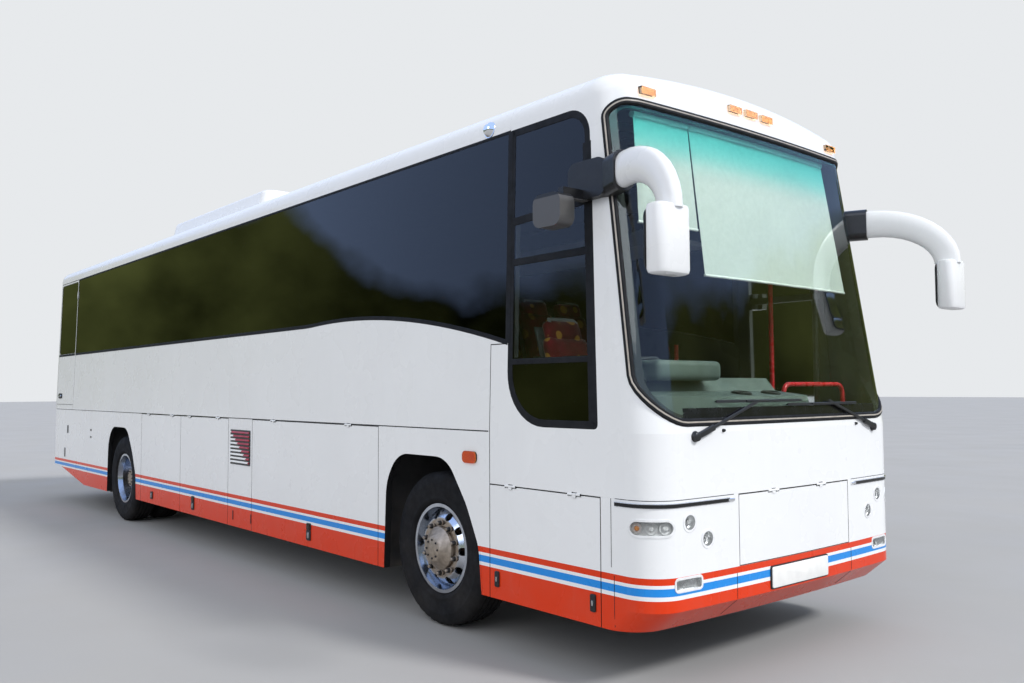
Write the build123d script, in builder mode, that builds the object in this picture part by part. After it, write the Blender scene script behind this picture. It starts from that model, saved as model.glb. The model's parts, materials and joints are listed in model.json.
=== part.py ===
"""Twelve-metre two-axle touring coach, right-hand drive, in millimetres.

+X is forward, +Y is the kerb side with the entrance door, +Z is up, and the origin is on the
ground below the middle of the whole vehicle, mirrors included.
"""
from build123d import *
import os
from math import sin, cos, radians, sqrt

os.makedirs("parts", exist_ok=True)

# Overall body
length = 12000
half_width = 1250
front_x = 5840
rear_x = front_x - length
skirt_z = 310
bumper_z = 610
ridge_z = 430
tail_z = 505
nose_z = 1350
roof_z = 3450
shell = 50
gap = 6
seat = 0.3

# Plan shape of the ends and slope of the walls
bumper_tuck = 140
windscreen_rake = 0.149
tumblehome = 0.026
rear_rake = 0.01
front_corner = 210
front_bow = 3.5
rear_corner = 240
rear_bow = 3
crown_radius = 8000
roof_fillet = 150

# Main height lines on the sides
locker_top = 1000
gap_line = 1320
window_bottom = 2115
window_top = roof_z - 260
roof_seam = window_top + 5
floor_top = 1260
floor_thickness = 60
cab_floor = 930

# Lengthwise stations
front_axle_x = front_x - 2010
rear_axle_x = rear_x + 3400
cab_seam_x = front_x - 1210
locker_seam_x = front_x - 1368
corner_x = front_x - 418
saloon_x = (rear_x + 275, front_x - 415)
emergency_x = (saloon_x[0] + 5, saloon_x[0] + 875)
entrance_x = (front_x - 1245, front_x - 445)
entrance_z = (370, 3120)
tail_x = (rear_x + 540, rear_x + 1810)
frame_x = (rear_x + 560, front_x - 1375)

# Luggage doors: the offside has two short leaves and a long one, the kerb side three alike
bay_x = (rear_axle_x + 725, front_axle_x - 658)
short_leaf = 1250
long_leaf = 2160
kerb_leaf = (bay_x[1] - bay_x[0] - 2 * gap) / 3
offside_doors = [("a", bay_x[0], bay_x[0] + short_leaf),
                 ("b", bay_x[0] + short_leaf + gap, bay_x[0] + 2 * short_leaf + gap),
                 ("c", bay_x[1] - long_leaf, bay_x[1])]
nearside_doors = [(name, bay_x[0] + i * (kerb_leaf + gap), bay_x[0] + i * (kerb_leaf + gap) + kerb_leaf)
                  for i, name in enumerate("abc")]

# Wheels and axles
tyre_radius = 515
axle_z = 515
tyre_width = 280
front_track = 1050
rear_outer = 1090
rear_inner = 760
kingpin_y = 840
kingpin_radius = 22
rim_radius = 298.5
bead_radius = 286.7
running = 0.05
arch_top = 1140
box_half = 655
box_inner = 545


def block(x, y, z, mode=Mode.ADD):
    """A box between two limits on each axis."""
    with Locations(((x[0] + x[1]) / 2, (y[0] + y[1]) / 2, (z[0] + z[1]) / 2)):
        Box(x[1] - x[0], y[1] - y[0], z[1] - z[0], mode=mode)


def bar(axis, at, span, radius, mode=Mode.ADD):
    """A round bar along one axis; at holds its place on the two other axes, in X, Y, Z order."""
    planes = {"x": Plane.YZ.offset(span[0]), "y": Plane.XZ.offset(-span[1]), "z": Plane.XY.offset(span[0])}
    with BuildSketch(planes[axis]) as disc:
        with Locations(at):
            Circle(radius)
    extrude(disc.sketch, amount=span[1] - span[0], mode=mode)


def side_prism(points, y, mode=Mode.ADD):
    """A straight-sided outline of X and Z points, extruded between two Y limits."""
    with BuildSketch(Plane.XZ.offset(-y[1])) as outline:
        with BuildLine():
            Polyline(*points, close=True)
        make_face()
    extrude(outline.sketch, amount=y[1] - y[0], mode=mode)


def front_arcs(front, half):
    """Radius and centre of the bowed front, and the place of its corner arcs along X."""
    turn = radians(front_bow)
    bow = (half - front_corner + front_corner * sin(turn)) / sin(turn)
    return bow, front - bow, front - bow + (bow - front_corner) * cos(turn)


def plan_section(height, front, rear, half, inset):
    """Closed plan outline of the body at one height: bowed ends, round corners, straight sides."""
    bow, bow_x, corner_front = front_arcs(front, half)
    back = radians(rear_bow)
    back_bow = (half - rear_corner + rear_corner * sin(back)) / sin(back)
    back_x = rear + back_bow
    corner_rear = back_x - (back_bow - rear_corner) * cos(back)
    wide = half - inset
    with BuildSketch(Plane.XY.offset(height)) as section:
        with BuildLine():
            CenterArc((bow_x, 0), bow - inset, -front_bow, 2 * front_bow)
            CenterArc((corner_front, half - front_corner), front_corner - inset, front_bow, 90 - front_bow)
            Line((corner_front, wide), (corner_rear, wide))
            CenterArc((corner_rear, half - rear_corner), rear_corner - inset, 90, 90 - rear_bow)
            CenterArc((back_x, 0), back_bow - inset, 180 - rear_bow, 2 * rear_bow)
            CenterArc((corner_rear, rear_corner - half), rear_corner - inset, 180 + rear_bow, 90 - rear_bow)
            Line((corner_rear, -wide), (corner_front, -wide))
            CenterArc((corner_front, front_corner - half), front_corner - inset, -90, 90 - front_bow)
        make_face()
    return section.sketch


def envelope(inset, bottom=skirt_z):
    """Closed solid of the body's outer form, moved inward by the inset."""
    top = roof_z + 60
    sections = []
    for level in (bottom, ridge_z, nose_z, top):
        below_ridge = max(0, ridge_z - level) / (ridge_z - skirt_z)
        above_nose = max(0, level - nose_z)
        front = front_x - bumper_tuck * below_ridge - windscreen_rake * above_nose
        rear = rear_x + rear_rake * above_nose
        sections.append(plan_section(level, front, rear, half_width - tumblehome * above_nose, inset))
    with BuildPart() as body:
        loft(sections, ruled=True)
        with BuildSketch(Plane.YZ.offset(rear_x - 100)) as crown:
            with Locations((0, roof_z - inset - crown_radius)):
                Circle(crown_radius)
            with Locations((0, 1500)):
                Rectangle(3200, 5000, mode=Mode.INTERSECT)
        extrude(crown.sketch, amount=length + 200, mode=Mode.INTERSECT)
        rim = body.faces().sort_by(Axis.Z)[-1].edges()
        fillet(rim, roof_fillet - inset)
    return body.part


def saloon_form(inset, bottom=skirt_z):
    """The same form between the rounded ends, as one constant cross-section."""
    wide = half_width - inset
    crown_z = roof_z - inset - crown_radius
    edge_z = roof_z
    for step in range(6):
        edge_y = wide - tumblehome * (edge_z - nose_z)
        edge_z = crown_z + sqrt(crown_radius ** 2 - edge_y ** 2)
    with BuildPart() as body:
        with BuildSketch(Plane.YZ.offset(saloon_x[0])) as section:
            with BuildLine():
                Polyline((-edge_y, edge_z), (-wide, nose_z), (-wide, bottom), (wide, bottom), (wide, nose_z),
                         (edge_y, edge_z))
                ThreePointArc((edge_y, edge_z), (0, roof_z - inset), (-edge_y, edge_z))
            make_face()
            fillet(section.vertices().sort_by(Axis.Y)[-2:], roof_fillet - inset)
        extrude(section.sketch, amount=saloon_x[1] - saloon_x[0])
    return body.part


proud, pane_out, pane_in = -10, 3, 9
rebate_in = pane_in + seat
insets = (proud, pane_out, pane_in, rebate_in)
end_forms = {inset: envelope(inset) for inset in insets}
saloon_forms = {inset: saloon_form(inset) for inset in insets}
outer_form = envelope(0)
core_form = envelope(shell + seat, skirt_z - 20)


def hollow_shell(outer, inner):
    """Wall between two forms, with the underside rising behind the rear axle."""
    with BuildPart() as hollow:
        add(outer)
        add(inner, mode=Mode.SUBTRACT)
        side_prism([(tail_x[1], skirt_z - 5), (tail_x[0], tail_z), (rear_x - 50, tail_z), (rear_x - 50, 200),
                    (tail_x[1], 200)], (-1400, 1400), Mode.SUBTRACT)
    return hollow.part


body_shell = hollow_shell(outer_form, envelope(shell, skirt_z - 20))
saloon_shell = hollow_shell(saloon_form(0), saloon_form(shell, skirt_z - 20))


# Outlines of the glazing, seen from the side in X and Z
sweep_x = front_x - 3770
window_dip = 243


def band_outline(side, rear_end, front_end, shrink=0.0):
    """Side glass band: straight waist with a downward sweep towards the front."""
    with BuildSketch(Plane.XZ.offset(-side)) as outline:
        with BuildLine():
            Polyline((sweep_x, window_bottom), (rear_end, window_bottom), (rear_end, window_top),
                     (cab_seam_x, window_top), (cab_seam_x, window_bottom - window_dip))
            ThreePointArc((cab_seam_x, window_bottom - window_dip),
                          (0.45 * sweep_x + 0.55 * cab_seam_x, window_bottom - 30), (sweep_x, window_bottom))
        make_face()
        with Locations(((rear_end + front_end) / 2, 2500)):
            Rectangle(front_end - rear_end, 2000, mode=Mode.INTERSECT)
        if shrink:
            offset(amount=-shrink, kind=Kind.INTERSECTION)
    return outline.sketch


def driver_outline(side, shrink=0.0):
    """Cab side window, cut back in a wide curve at its lower rear corner."""
    with BuildSketch(Plane.XZ.offset(-side)) as outline:
        with BuildLine():
            Polyline((cab_seam_x + 8, window_top), (cab_seam_x + 8, 1365), (corner_x - 14, 1365),
                     (corner_x - 105, window_top), close=True)
        make_face()
        fillet(outline.vertices().sort_by(Axis.Y)[-2:].sort_by(Axis.X)[-1], 170)
        fillet(outline.vertices().sort_by(Axis.Y)[:2].sort_by(Axis.X)[0], 330)
        fillet(outline.vertices().sort_by(Axis.X)[-1], 25)
        if shrink:
            offset(amount=-shrink, kind=Kind.INTERSECTION)
    return outline.sketch


def screen_outline(shrink=0.0):
    """Windscreen seen from the front in Y and Z, with wide lower corners."""
    with BuildSketch(Plane.YZ.offset(front_x - 940)) as outline:
        with BuildLine():
            Polyline((12 - half_width, 1400), (half_width - 12, 1400), (half_width - 62, window_top),
                     (62 - half_width, window_top), close=True)
        make_face()
        fillet(outline.vertices().sort_by(Axis.Y)[:2], 250)
        fillet(outline.vertices().sort_by(Axis.Y)[-2:], 100)
        if shrink:
            offset(amount=-shrink, kind=Kind.INTERSECTION)
    return outline.sketch


def rear_outline(shrink=0.0):
    """Rear window seen from behind in Y and Z."""
    with BuildSketch(Plane.YZ.offset(rear_x - 240)) as outline:
        with Locations((0, window_top - 550)):
            RectangleRounded(2 * half_width - 540, 900, 130)
        if shrink:
            offset(amount=-shrink, kind=Kind.INTERSECTION)
    return outline.sketch


edge = 6
frame_cover = 45
door_lean = 0.05
leaf_panes = [(1400, 3030), (520, 1130)]


def door_outline(clear):
    """Entrance door opening in X and Z, grown by a clearance; its front edge leans with the pillar."""
    top_front = entrance_x[1] - door_lean * (entrance_z[1] - locker_top)
    return [(entrance_x[0] - clear, entrance_z[0] - clear), (entrance_x[1] + clear, entrance_z[0] - clear),
            (entrance_x[1] + clear, locker_top), (top_front + clear, entrance_z[1] + clear),
            (entrance_x[0] - clear, entrance_z[1] + clear)]


def door_pane(shrink):
    """Upper and lower glass of the entrance door, seen from the side."""
    with BuildSketch(Plane.XZ.offset(-1400)) as outline:
        for low, high in leaf_panes:
            front_low = entrance_x[1] - 60 - door_lean * max(0, low - locker_top)
            front_high = entrance_x[1] - 60 - door_lean * max(0, high - locker_top)
            with BuildLine():
                Polyline((entrance_x[0] + 60, low), (front_low, low), (front_high, high),
                         (entrance_x[0] + 60, high), close=True)
            make_face()
        fillet(outline.vertices(), 50)
        if shrink:
            offset(amount=-shrink, kind=Kind.INTERSECTION)
    return outline.sketch


def glaze(outline, depth, forms):
    """Pane for the part under construction: an outline's prism kept to the glass layer."""
    extrude(outline, amount=depth, both=True)
    add(forms[pane_out], mode=Mode.INTERSECT)
    add(forms[pane_in], mode=Mode.SUBTRACT)


def rebate(outline_outer, outline_inner, depth, forms):
    """Recess for a bonded pane, and the aperture behind it."""
    with BuildPart(mode=Mode.PRIVATE) as recess:
        extrude(outline_outer, amount=depth, both=True)
        add(forms[proud], mode=Mode.INTERSECT)
        add(forms[rebate_in], mode=Mode.SUBTRACT)
    add(recess.part, mode=Mode.SUBTRACT)
    extrude(outline_inner, amount=depth, both=True, mode=Mode.SUBTRACT)


# Hinges with a pin in two ears on the frame and a knuckle on the leaf
ear_radius = 7
pin_radius = 3.5
knuckle_half = 15.5
ear_end = 50
relief = 12.5


def rod(line, span, radius, mode=Mode.ADD):
    """A round rod along a line's own Z between two distances from its origin."""
    with BuildSketch(line.offset(span[0])) as disc:
        Circle(radius)
    extrude(disc.sketch, amount=span[1] - span[0], mode=mode)


def hinge_frame(line, places):
    """Ears and pin on the fixed side of a hinge line."""
    for s in places:
        rod(line, (s - knuckle_half - 5, s + knuckle_half + 5), relief, Mode.SUBTRACT)
        rod(line, (s - ear_end, s - knuckle_half - 0.5), ear_radius)
        rod(line, (s + knuckle_half + 0.5, s + ear_end), ear_radius)
        rod(line, (s - ear_end, s + ear_end), pin_radius)


def hinge_leaf(line, places):
    """Knuckle on the moving side, on a web that runs along the line's own X into the leaf."""
    for s in places:
        rod(line, (s - ear_end - 5, s + ear_end + 5), relief, Mode.SUBTRACT)
        rod(line, (s - knuckle_half, s + knuckle_half), ear_radius)
        with BuildSketch(line.offset(s - knuckle_half)) as web:
            with Locations(((relief + 5) / 2, 0)):
                Rectangle(relief + 5, 10)
        extrude(web.sketch, amount=2 * knuckle_half)
        rod(line, (s - knuckle_half, s + knuckle_half), pin_radius + running, Mode.SUBTRACT)


hinge_out = 1
side_lines = {side: Plane(origin=(0, side * (half_width + hinge_out), gap_line), x_dir=(0, 0, -1), z_dir=(1, 0, 0))
              for side in (-1, 1)}
locker_line = Plane(origin=(0, -half_width - hinge_out, locker_top), x_dir=(0, 0, -1), z_dir=(1, 0, 0))
locker_places = [locker_seam_x + 200, corner_x - 200]
flap_line = Plane(origin=(front_x - 4, 0, locker_top), x_dir=(0, 0, -1), z_dir=(0, 1, 0))
flap_places = [-250, 250]
engine_line = Plane(origin=(rear_x - hinge_out, 0, gap_line), x_dir=(0, 0, -1), z_dir=(0, 1, 0))
engine_places = [-350, 350]
emergency_line = Plane(origin=(emergency_x[1] + gap / 2, -half_width - hinge_out, nose_z), x_dir=(-1, 0, 0),
                       z_dir=(0, tumblehome, 1))
emergency_places = [350, 1620]


def arch_points(centre):
    """Wheel arch outline: square at the back, cut off at a slant at the front."""
    return [(centre - 578, 200), (centre - 545, 930), (centre - 400, arch_top), (centre + 190, arch_top),
            (centre + 405, 850), (centre + 530, 600), (centre + 570, 200)]


# Side walls above the gap line
def wall(side, front_low, front_high):
    """One saloon side: shell between the gap line and the roof, without its window openings."""
    add(saloon_shell)
    start = emergency_x[1] + gap if side < 0 else saloon_x[0]
    y = (900, 1400) if side > 0 else (-1400, -900)
    with BuildPart(mode=Mode.PRIVATE) as region:
        block((start, front_low), y, (gap_line + gap / 2, roof_seam))
        block((start, front_high), y, (1868, roof_seam))
    add(region.part, mode=Mode.INTERSECT)
    rear_end = start + 3
    outline = band_outline(1400 if side > 0 else -900, rear_end, front_high)
    with BuildSketch(Plane.XZ.offset(-1400 if side > 0 else 900)) as openings:
        add(band_outline(0, rear_end, front_high, frame_cover))
        bays = 7
        pitch = (front_high - rear_end) / bays
        for i in range(1, bays):
            with Locations((rear_end + i * pitch, 2500)):
                Rectangle(80, 2000, mode=Mode.SUBTRACT)
    rebate(outline, openings.sketch, 500, saloon_forms)


def stations(low, high):
    """Two hinge places on a leaf, a fifth of its length from each end."""
    span = high - low
    return [low + 0.2 * span, high - 0.2 * span]


with BuildPart() as offside_wall:
    wall(-1, locker_seam_x - gap / 2, cab_seam_x - 3)
    for name, low, high in offside_doors:
        hinge_frame(side_lines[-1], stations(low, high))
    hinge_frame(emergency_line, emergency_places)

with BuildPart() as nearside_wall:
    wall(1, entrance_x[0] - gap, entrance_x[0] - gap)
    for name, low, high in nearside_doors:
        hinge_frame(side_lines[1], stations(low, high))

with BuildPart() as roof_panel:
    add(saloon_shell)
    block((saloon_x[0], cab_seam_x), (-1400, 1400), (roof_seam + seat, 3600), Mode.INTERSECT)

with BuildPart() as front_cap:
    add(body_shell)
    with BuildPart(mode=Mode.PRIVATE) as region:
        block((cab_seam_x + 3, 6200), (-1400, 1400), (locker_top + 4, roof_seam + seat))
        block((cab_seam_x + seat, 6200), (-1400, 1400), (roof_seam + seat, 3600))
        block((locker_seam_x + gap / 2, cab_seam_x + 3), (-1400, 0), (locker_top + 4, 1862))
    add(region.part, mode=Mode.INTERSECT)
    side_prism(door_outline(gap), (900, 1400), Mode.SUBTRACT)
    block((locker_seam_x, entrance_x[0]), (900, 1400), (200, entrance_z[1] + gap), Mode.SUBTRACT)
    rebate(screen_outline(), screen_outline(frame_cover), 1300, end_forms)
    rebate(driver_outline(-900), driver_outline(-900, frame_cover), 500, end_forms)
    hinge_frame(flap_line, flap_places)
    hinge_frame(locker_line, locker_places)

with BuildPart() as rear_cap:
    add(body_shell)
    block((rear_x - 50, saloon_x[0] - seat), (-1400, 1400), (gap_line + gap / 2, 3600), Mode.INTERSECT)
    rebate(rear_outline(), rear_outline(frame_cover), 600, end_forms)
    hinge_frame(engine_line, engine_places)

with BuildPart() as offside_skirt:
    add(saloon_shell)
    with BuildPart(mode=Mode.PRIVATE) as region:
        y = (-1400, -1000)
        z = (skirt_z - 10, gap_line + gap / 2 - seat)
        block((saloon_x[0], bay_x[0] - gap), y, z)
        block((offside_doors[1][2] + gap, offside_doors[2][1] - gap), y, z)
        block((bay_x[1] + gap, locker_seam_x - gap / 2), y, z)
        block((emergency_x[0], emergency_x[1]), y, (gap_line - gap, 1394))
    add(region.part, mode=Mode.INTERSECT)
    for centre in (front_axle_x, rear_axle_x):
        side_prism(arch_points(centre), (-1400, -1000), Mode.SUBTRACT)

with BuildPart() as nearside_skirt:
    add(saloon_shell)
    with BuildPart(mode=Mode.PRIVATE) as region:
        y = (1000, 1400)
        z = (skirt_z - 10, gap_line + gap / 2 - seat)
        block((saloon_x[0], bay_x[0] - gap), y, z)
        block((bay_x[1] + gap, entrance_x[0] - gap), y, z)
        block((entrance_x[0] - gap, corner_x + gap / 2 - seat), y, (skirt_z - 10, locker_top + 4 - seat))
    add(region.part, mode=Mode.INTERSECT)
    side_prism(door_outline(gap), (1000, 1400), Mode.SUBTRACT)
    for centre in (front_axle_x, rear_axle_x):
        side_prism(arch_points(centre), (1000, 1400), Mode.SUBTRACT)

# Lamps that fill openings in the panels; angle is the way that the lamp faces, measured from straight ahead
bumper_split = 575
bumper_top = bumper_z - 3
pill_angle = 49
front_lamp_table = [("pill", 0, 861, 236, 84, 41.9), ("upper", 980, 882, 92, 92, 45.9),
                    ("lower", 840, 785, 92, 92, 45.9), ("fog", 990, 566, 200, 66, 20)]
rear_lamp_table = [("cluster", 948, 1030, 130, 440, 30), ("reverse", 1000, 640, 150, 60, 25)]
lamp_depth = 70


def front_plane(name, y, z, side):
    """Plane on the body's front that faces the way a lamp does."""
    arc_x = front_arcs(front_x, half_width)[2]
    if name == "pill":
        turn = radians(pill_angle)
        out = (cos(turn), side * sin(turn), 0)
        origin = (arc_x + front_corner * out[0], side * (half_width - front_corner + front_corner * sin(turn)), z)
    else:
        out = (1, 0, 0)
        origin = (front_x, side * y, z)
    return Plane(origin=origin, x_dir=(-out[1], out[0], 0), z_dir=out)


def rear_plane(name, y, z, side):
    """Plane on the body's rear, facing back."""
    return Plane(origin=(rear_x, side * y, z), x_dir=(0, -1, 0), z_dir=(-1, 0, 0))


def lamp_prisms(table, plane_of, shrink, mode):
    """One prism through the panel for each lamp of a table, on both sides."""
    for name, y, z, width, height, corner in table:
        for side in (-1, 1):
            with BuildSketch(plane_of(name, y, z, side).offset(lamp_depth)) as outline:
                RectangleRounded(width - 2 * shrink, height - 2 * shrink, corner - shrink)
            extrude(outline.sketch, amount=-2 * lamp_depth - 40, mode=mode)


with BuildPart() as front_lower:
    add(body_shell)
    with BuildPart(mode=Mode.PRIVATE) as region:
        x = (corner_x + gap / 2, 6200)
        for low, high in ((-1400, -bumper_split), (-bumper_split + seat, bumper_split - seat), (bumper_split, 1400)):
            block(x, (low, high), (skirt_z - 10, bumper_top))
        for low, high in ((-1400, -bumper_split - 3), (bumper_split + 3, 1400)):
            block(x, (low, high), (bumper_top + seat, locker_top + 4 - seat))
    add(region.part, mode=Mode.INTERSECT)
    lamp_prisms(front_lamp_table, front_plane, 0, Mode.SUBTRACT)

with BuildPart() as front_lamps:
    add(body_shell)
    with BuildPart(mode=Mode.PRIVATE) as prisms:
        lamp_prisms(front_lamp_table, front_plane, seat, Mode.ADD)
    add(prisms.part, mode=Mode.INTERSECT)

rear_split = 800
rear_bumper_top = 745
with BuildPart() as rear_lower:
    add(body_shell)
    with BuildPart(mode=Mode.PRIVATE) as region:
        x = (rear_x - 50, saloon_x[0] - seat)
        block(x, (-1400, 1400), (skirt_z, rear_bumper_top))
        for low, high in ((-1400, -rear_split - gap), (rear_split + gap, 1400)):
            block(x, (low, high), (rear_bumper_top + seat, gap_line + gap / 2 - seat))
    add(region.part, mode=Mode.INTERSECT)
    lamp_prisms(rear_lamp_table, rear_plane, 0, Mode.SUBTRACT)

with BuildPart() as rear_lamps:
    add(body_shell)
    with BuildPart(mode=Mode.PRIVATE) as prisms:
        lamp_prisms(rear_lamp_table, rear_plane, seat, Mode.ADD)
    add(prisms.part, mode=Mode.INTERSECT)

# Amber side repeaters and the five roof markers, standing on the paint; the table gives Y, Z and the face along X
repeater_x = front_axle_x + 445
marker_table = [("middle", 0, 3310, front_x - 271), ("inner", 165, 3308, front_x - 272),
                ("outer", 957, 3258, front_x - 291)]
stand_form = envelope(-seat)
with BuildPart() as side_lamps:
    for side in (-1, 1):
        with BuildSketch(Plane.XZ.offset(-side * (half_width + seat))) as base:
            with Locations((repeater_x, 1156)):
                RectangleRounded(141, 76, 30)
        extrude(base.sketch, amount=-side * 14)
    for name, y, z, face_x in marker_table:
        for side in (-1, 1) if y else (1,):
            block((front_x - 370, face_x), (side * y - 60, side * y + 60), (z - 21, z + 21))
    add(stand_form, mode=Mode.SUBTRACT)

# Hinged leaves on the lower body
leaves = {}


def side_leaf(side, low, high, top):
    """Top-hinged leaf of the lower side, with knuckles along its upper edge."""
    with BuildPart() as leaf:
        add(saloon_shell)
        y = (1000, 1400) if side > 0 else (-1400, -1000)
        block((low, high), y, (skirt_z - 10, top - gap + 2), Mode.INTERSECT)
        hinge_leaf(side_lines[side], stations(low, high))
    return leaf.part


for name, low, high in offside_doors:
    leaves["offside_door_" + name] = side_leaf(-1, low, high, gap_line)
for name, low, high in nearside_doors:
    leaves["nearside_door_" + name] = side_leaf(1, low, high, gap_line)

with BuildPart() as front_locker:
    add(saloon_shell)
    block((locker_seam_x + gap / 2, corner_x - gap / 2), (-1400, -1000), (skirt_z - 10, locker_top - 4),
          Mode.INTERSECT)
    hinge_leaf(locker_line, locker_places)

with BuildPart() as front_flap:
    add(body_shell)
    block((corner_x, 6200), (-bumper_split + 3, bumper_split - 3), (bumper_z + 3, locker_top - 4),
          Mode.INTERSECT)
    hinge_leaf(flap_line, flap_places)

with BuildPart() as engine_door:
    add(body_shell)
    block((rear_x - 50, saloon_x[0] - 15), (-rear_split, rear_split), (rear_bumper_top + gap, gap_line - gap / 2),
          Mode.INTERSECT)
    hinge_leaf(engine_line, engine_places)

# Emergency door at the offside rear, hinged along its front edge
with BuildPart() as emergency_door:
    add(saloon_shell)
    block(emergency_x, (-1400, -1000), (1400, window_top - 4), Mode.INTERSECT)
    with BuildSketch(Plane.XZ.offset(900)) as pane:
        with Locations(((emergency_x[0] + emergency_x[1]) / 2, (window_bottom + window_top - 8) / 2)):
            RectangleRounded(emergency_x[1] - emergency_x[0] - 30, window_top - window_bottom - 38, 40)
    with BuildSketch(Plane.XZ.offset(900)) as hole:
        with Locations(((emergency_x[0] + emergency_x[1]) / 2, (window_bottom + window_top - 8) / 2)):
            RectangleRounded(emergency_x[1] - emergency_x[0] - 120, window_top - window_bottom - 128, 30)
    rebate(pane.sketch, hole.sketch, 500, saloon_forms)
    hinge_leaf(emergency_line, emergency_places)

with BuildPart() as emergency_glass:
    with BuildSketch(Plane.XZ.offset(900)) as pane:
        with Locations(((emergency_x[0] + emergency_x[1]) / 2, (window_bottom + window_top - 8) / 2)):
            RectangleRounded(emergency_x[1] - emergency_x[0] - 40, window_top - window_bottom - 48, 35)
    glaze(pane.sketch, 500, saloon_forms)

# Entrance door leaf, carried by two arms on an upright post
post_x = 5300
arm_y = 1120
arm_length = 520
arm_levels = (1300, 2250)
with BuildPart() as entrance_door:
    add(body_shell)
    side_prism(door_outline(0), (900, 1400), Mode.INTERSECT)
    rebate(door_pane(0), door_pane(40), 600, end_forms)
    for level in arm_levels:
        block((post_x - arm_length - 60, post_x - arm_length + 60), (arm_y + 24, half_width - shell + 1),
              (level - 60, level + 60))
        for low, high in ((level - 60, level - 25), (level + 25, level + 60)):
            block((post_x - arm_length - 22, post_x - arm_length + 22), (arm_y, arm_y + 30), (low, high))
            bar("z", (post_x - arm_length, arm_y), (low, high), 22)
        bar("z", (post_x - arm_length, arm_y), (level - 60, level + 60), 10)

with BuildPart() as entrance_glass:
    glaze(door_pane(3), 600, end_forms)

with BuildPart() as door_arms:
    bar("z", (post_x, arm_y), (cab_floor - 560 + 30 + seat, 2600), 20)
    for level in arm_levels:
        block((post_x - arm_length, post_x), (arm_y - 18, arm_y + 18), (level - 24, level + 24))
        bar("z", (post_x, arm_y), (level - 24, level + 24), 34)
        bar("z", (post_x - arm_length, arm_y), (level - 24, level + 24), 18)
        bar("z", (post_x - arm_length, arm_y), (level - 24, level + 24), 10 + running, Mode.SUBTRACT)

# Glass of the fixed windows
with BuildPart() as windscreen:
    glaze(screen_outline(edge), 1300, end_forms)

with BuildPart() as offside_glazing:
    glaze(band_outline(-900, emergency_x[1] + gap + 3, cab_seam_x - 3, edge), 500, saloon_forms)
with BuildPart() as driver_window:
    glaze(driver_outline(-900, edge), 500, end_forms)
with BuildPart() as offside_glass:
    add(offside_glazing.part)
    add(driver_window.part)
with BuildPart() as nearside_glazing:
    glaze(band_outline(1400, emergency_x[0] + 3, entrance_x[0] - gap, edge), 500, saloon_forms)
with BuildPart() as rear_window:
    glaze(rear_outline(edge), 600, end_forms)

# Floor, luggage bay and wheel boxes
side_duct_y = (1130, 1186)
deck_x = (rear_x, locker_seam_x - 2)
with BuildPart() as floor_deck:
    with BuildSketch(Plane.YZ.offset(deck_x[0])) as section:
        with BuildLine():
            Polyline((0, floor_top - floor_thickness), (side_duct_y[1], floor_top - floor_thickness),
                     (side_duct_y[1], gap_line + 12), (half_width, gap_line + 12), (half_width, 1400),
                     (side_duct_y[0], 1400), (side_duct_y[0], floor_top), (0, floor_top), close=True)
        make_face()
        mirror(about=Plane.YZ)
    extrude(section.sketch, amount=deck_x[1] - deck_x[0])
    add(core_form, mode=Mode.INTERSECT)
    block((rear_x, saloon_x[0] - 5), (-1400, 1400), (1100, gap_line + 11), Mode.SUBTRACT)

rail_y = (350, 430)
rail_z = (950, floor_top - floor_thickness - seat)
nose_rail_z = (400, 520)
tow_eye_x = frame_x[1] + 1165
tow_pin_radius = 20
cross_members = [frame_x[0] + 1100, frame_x[0] + 2000, rear_axle_x + 860, front_axle_x - 3330, front_axle_x - 730,
                 front_axle_x + 570]
with BuildPart() as chassis_frame:
    for side in (-1, 1):
        y = (side * rail_y[0], side * rail_y[1])
        y = (min(y), max(y))
        block(frame_x, y, rail_z)
        block((frame_x[1] - 80, frame_x[1]), y, (nose_rail_z[0], rail_z[0] + 1))
        block((frame_x[1] - 80, frame_x[1] + 1095), y, nose_rail_z)
        block((frame_x[1] + 1094, frame_x[1] + 1215), y, (nose_rail_z[0], nose_rail_z[0] + 30))
        bar("z", (tow_eye_x, side * (rail_y[0] + rail_y[1]) / 2), (nose_rail_z[0] - 1, nose_rail_z[0] + 31),
            tow_pin_radius, Mode.SUBTRACT)
    for x in cross_members:
        block((x - 40, x + 40), (-rail_y[0] - 1, rail_y[0] + 1), (rail_z[0] + 40, rail_z[1] - 60))

deck_under = floor_top - floor_thickness - seat
bay_floor = (340, 370)
bay_wall = 40
divider_x = offside_doors[1][2] + 90
leaf_clear = half_width - shell - 12
with BuildPart() as luggage_bay:
    rear_wall = rear_axle_x + box_half + seat
    front_wall = front_axle_x - box_half - seat
    block((rear_wall, front_wall), (-leaf_clear, leaf_clear), bay_floor)
    block((rear_wall, rear_wall + bay_wall), (-half_width, half_width), (bay_floor[0], deck_under))
    block((front_wall - bay_wall, front_wall), (-leaf_clear, leaf_clear), (bay_floor[0], deck_under))
    block((divider_x, divider_x + bay_wall), (-leaf_clear, leaf_clear), (bay_floor[0], deck_under))
    add(core_form, mode=Mode.INTERSECT)
    block(frame_x, (-rail_y[1] - seat, rail_y[1] + seat), (rail_z[0] - seat, 1300), Mode.SUBTRACT)

box_foot = 600
flap_foot = 215
flap_y = (box_inner + 60, half_width - shell - 15)
with BuildPart() as wheel_boxes:
    for centre in (front_axle_x, rear_axle_x):
        for side in (-1, 1):
            y = (side * box_inner, side * half_width)
            block((centre - box_half, centre + box_half), (min(y), max(y)), (box_foot, deck_under))
            y = (side * (box_inner + 12), side * half_width)
            block((centre - box_half + 12, centre + box_half - 12), (min(y), max(y)), (500, 1180), Mode.SUBTRACT)
            y = (side * flap_y[0], side * flap_y[1])
            block((centre - box_half, centre - box_half + 12), (min(y), max(y)), (flap_foot, box_foot + 1))
    add(core_form, mode=Mode.INTERSECT)

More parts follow.
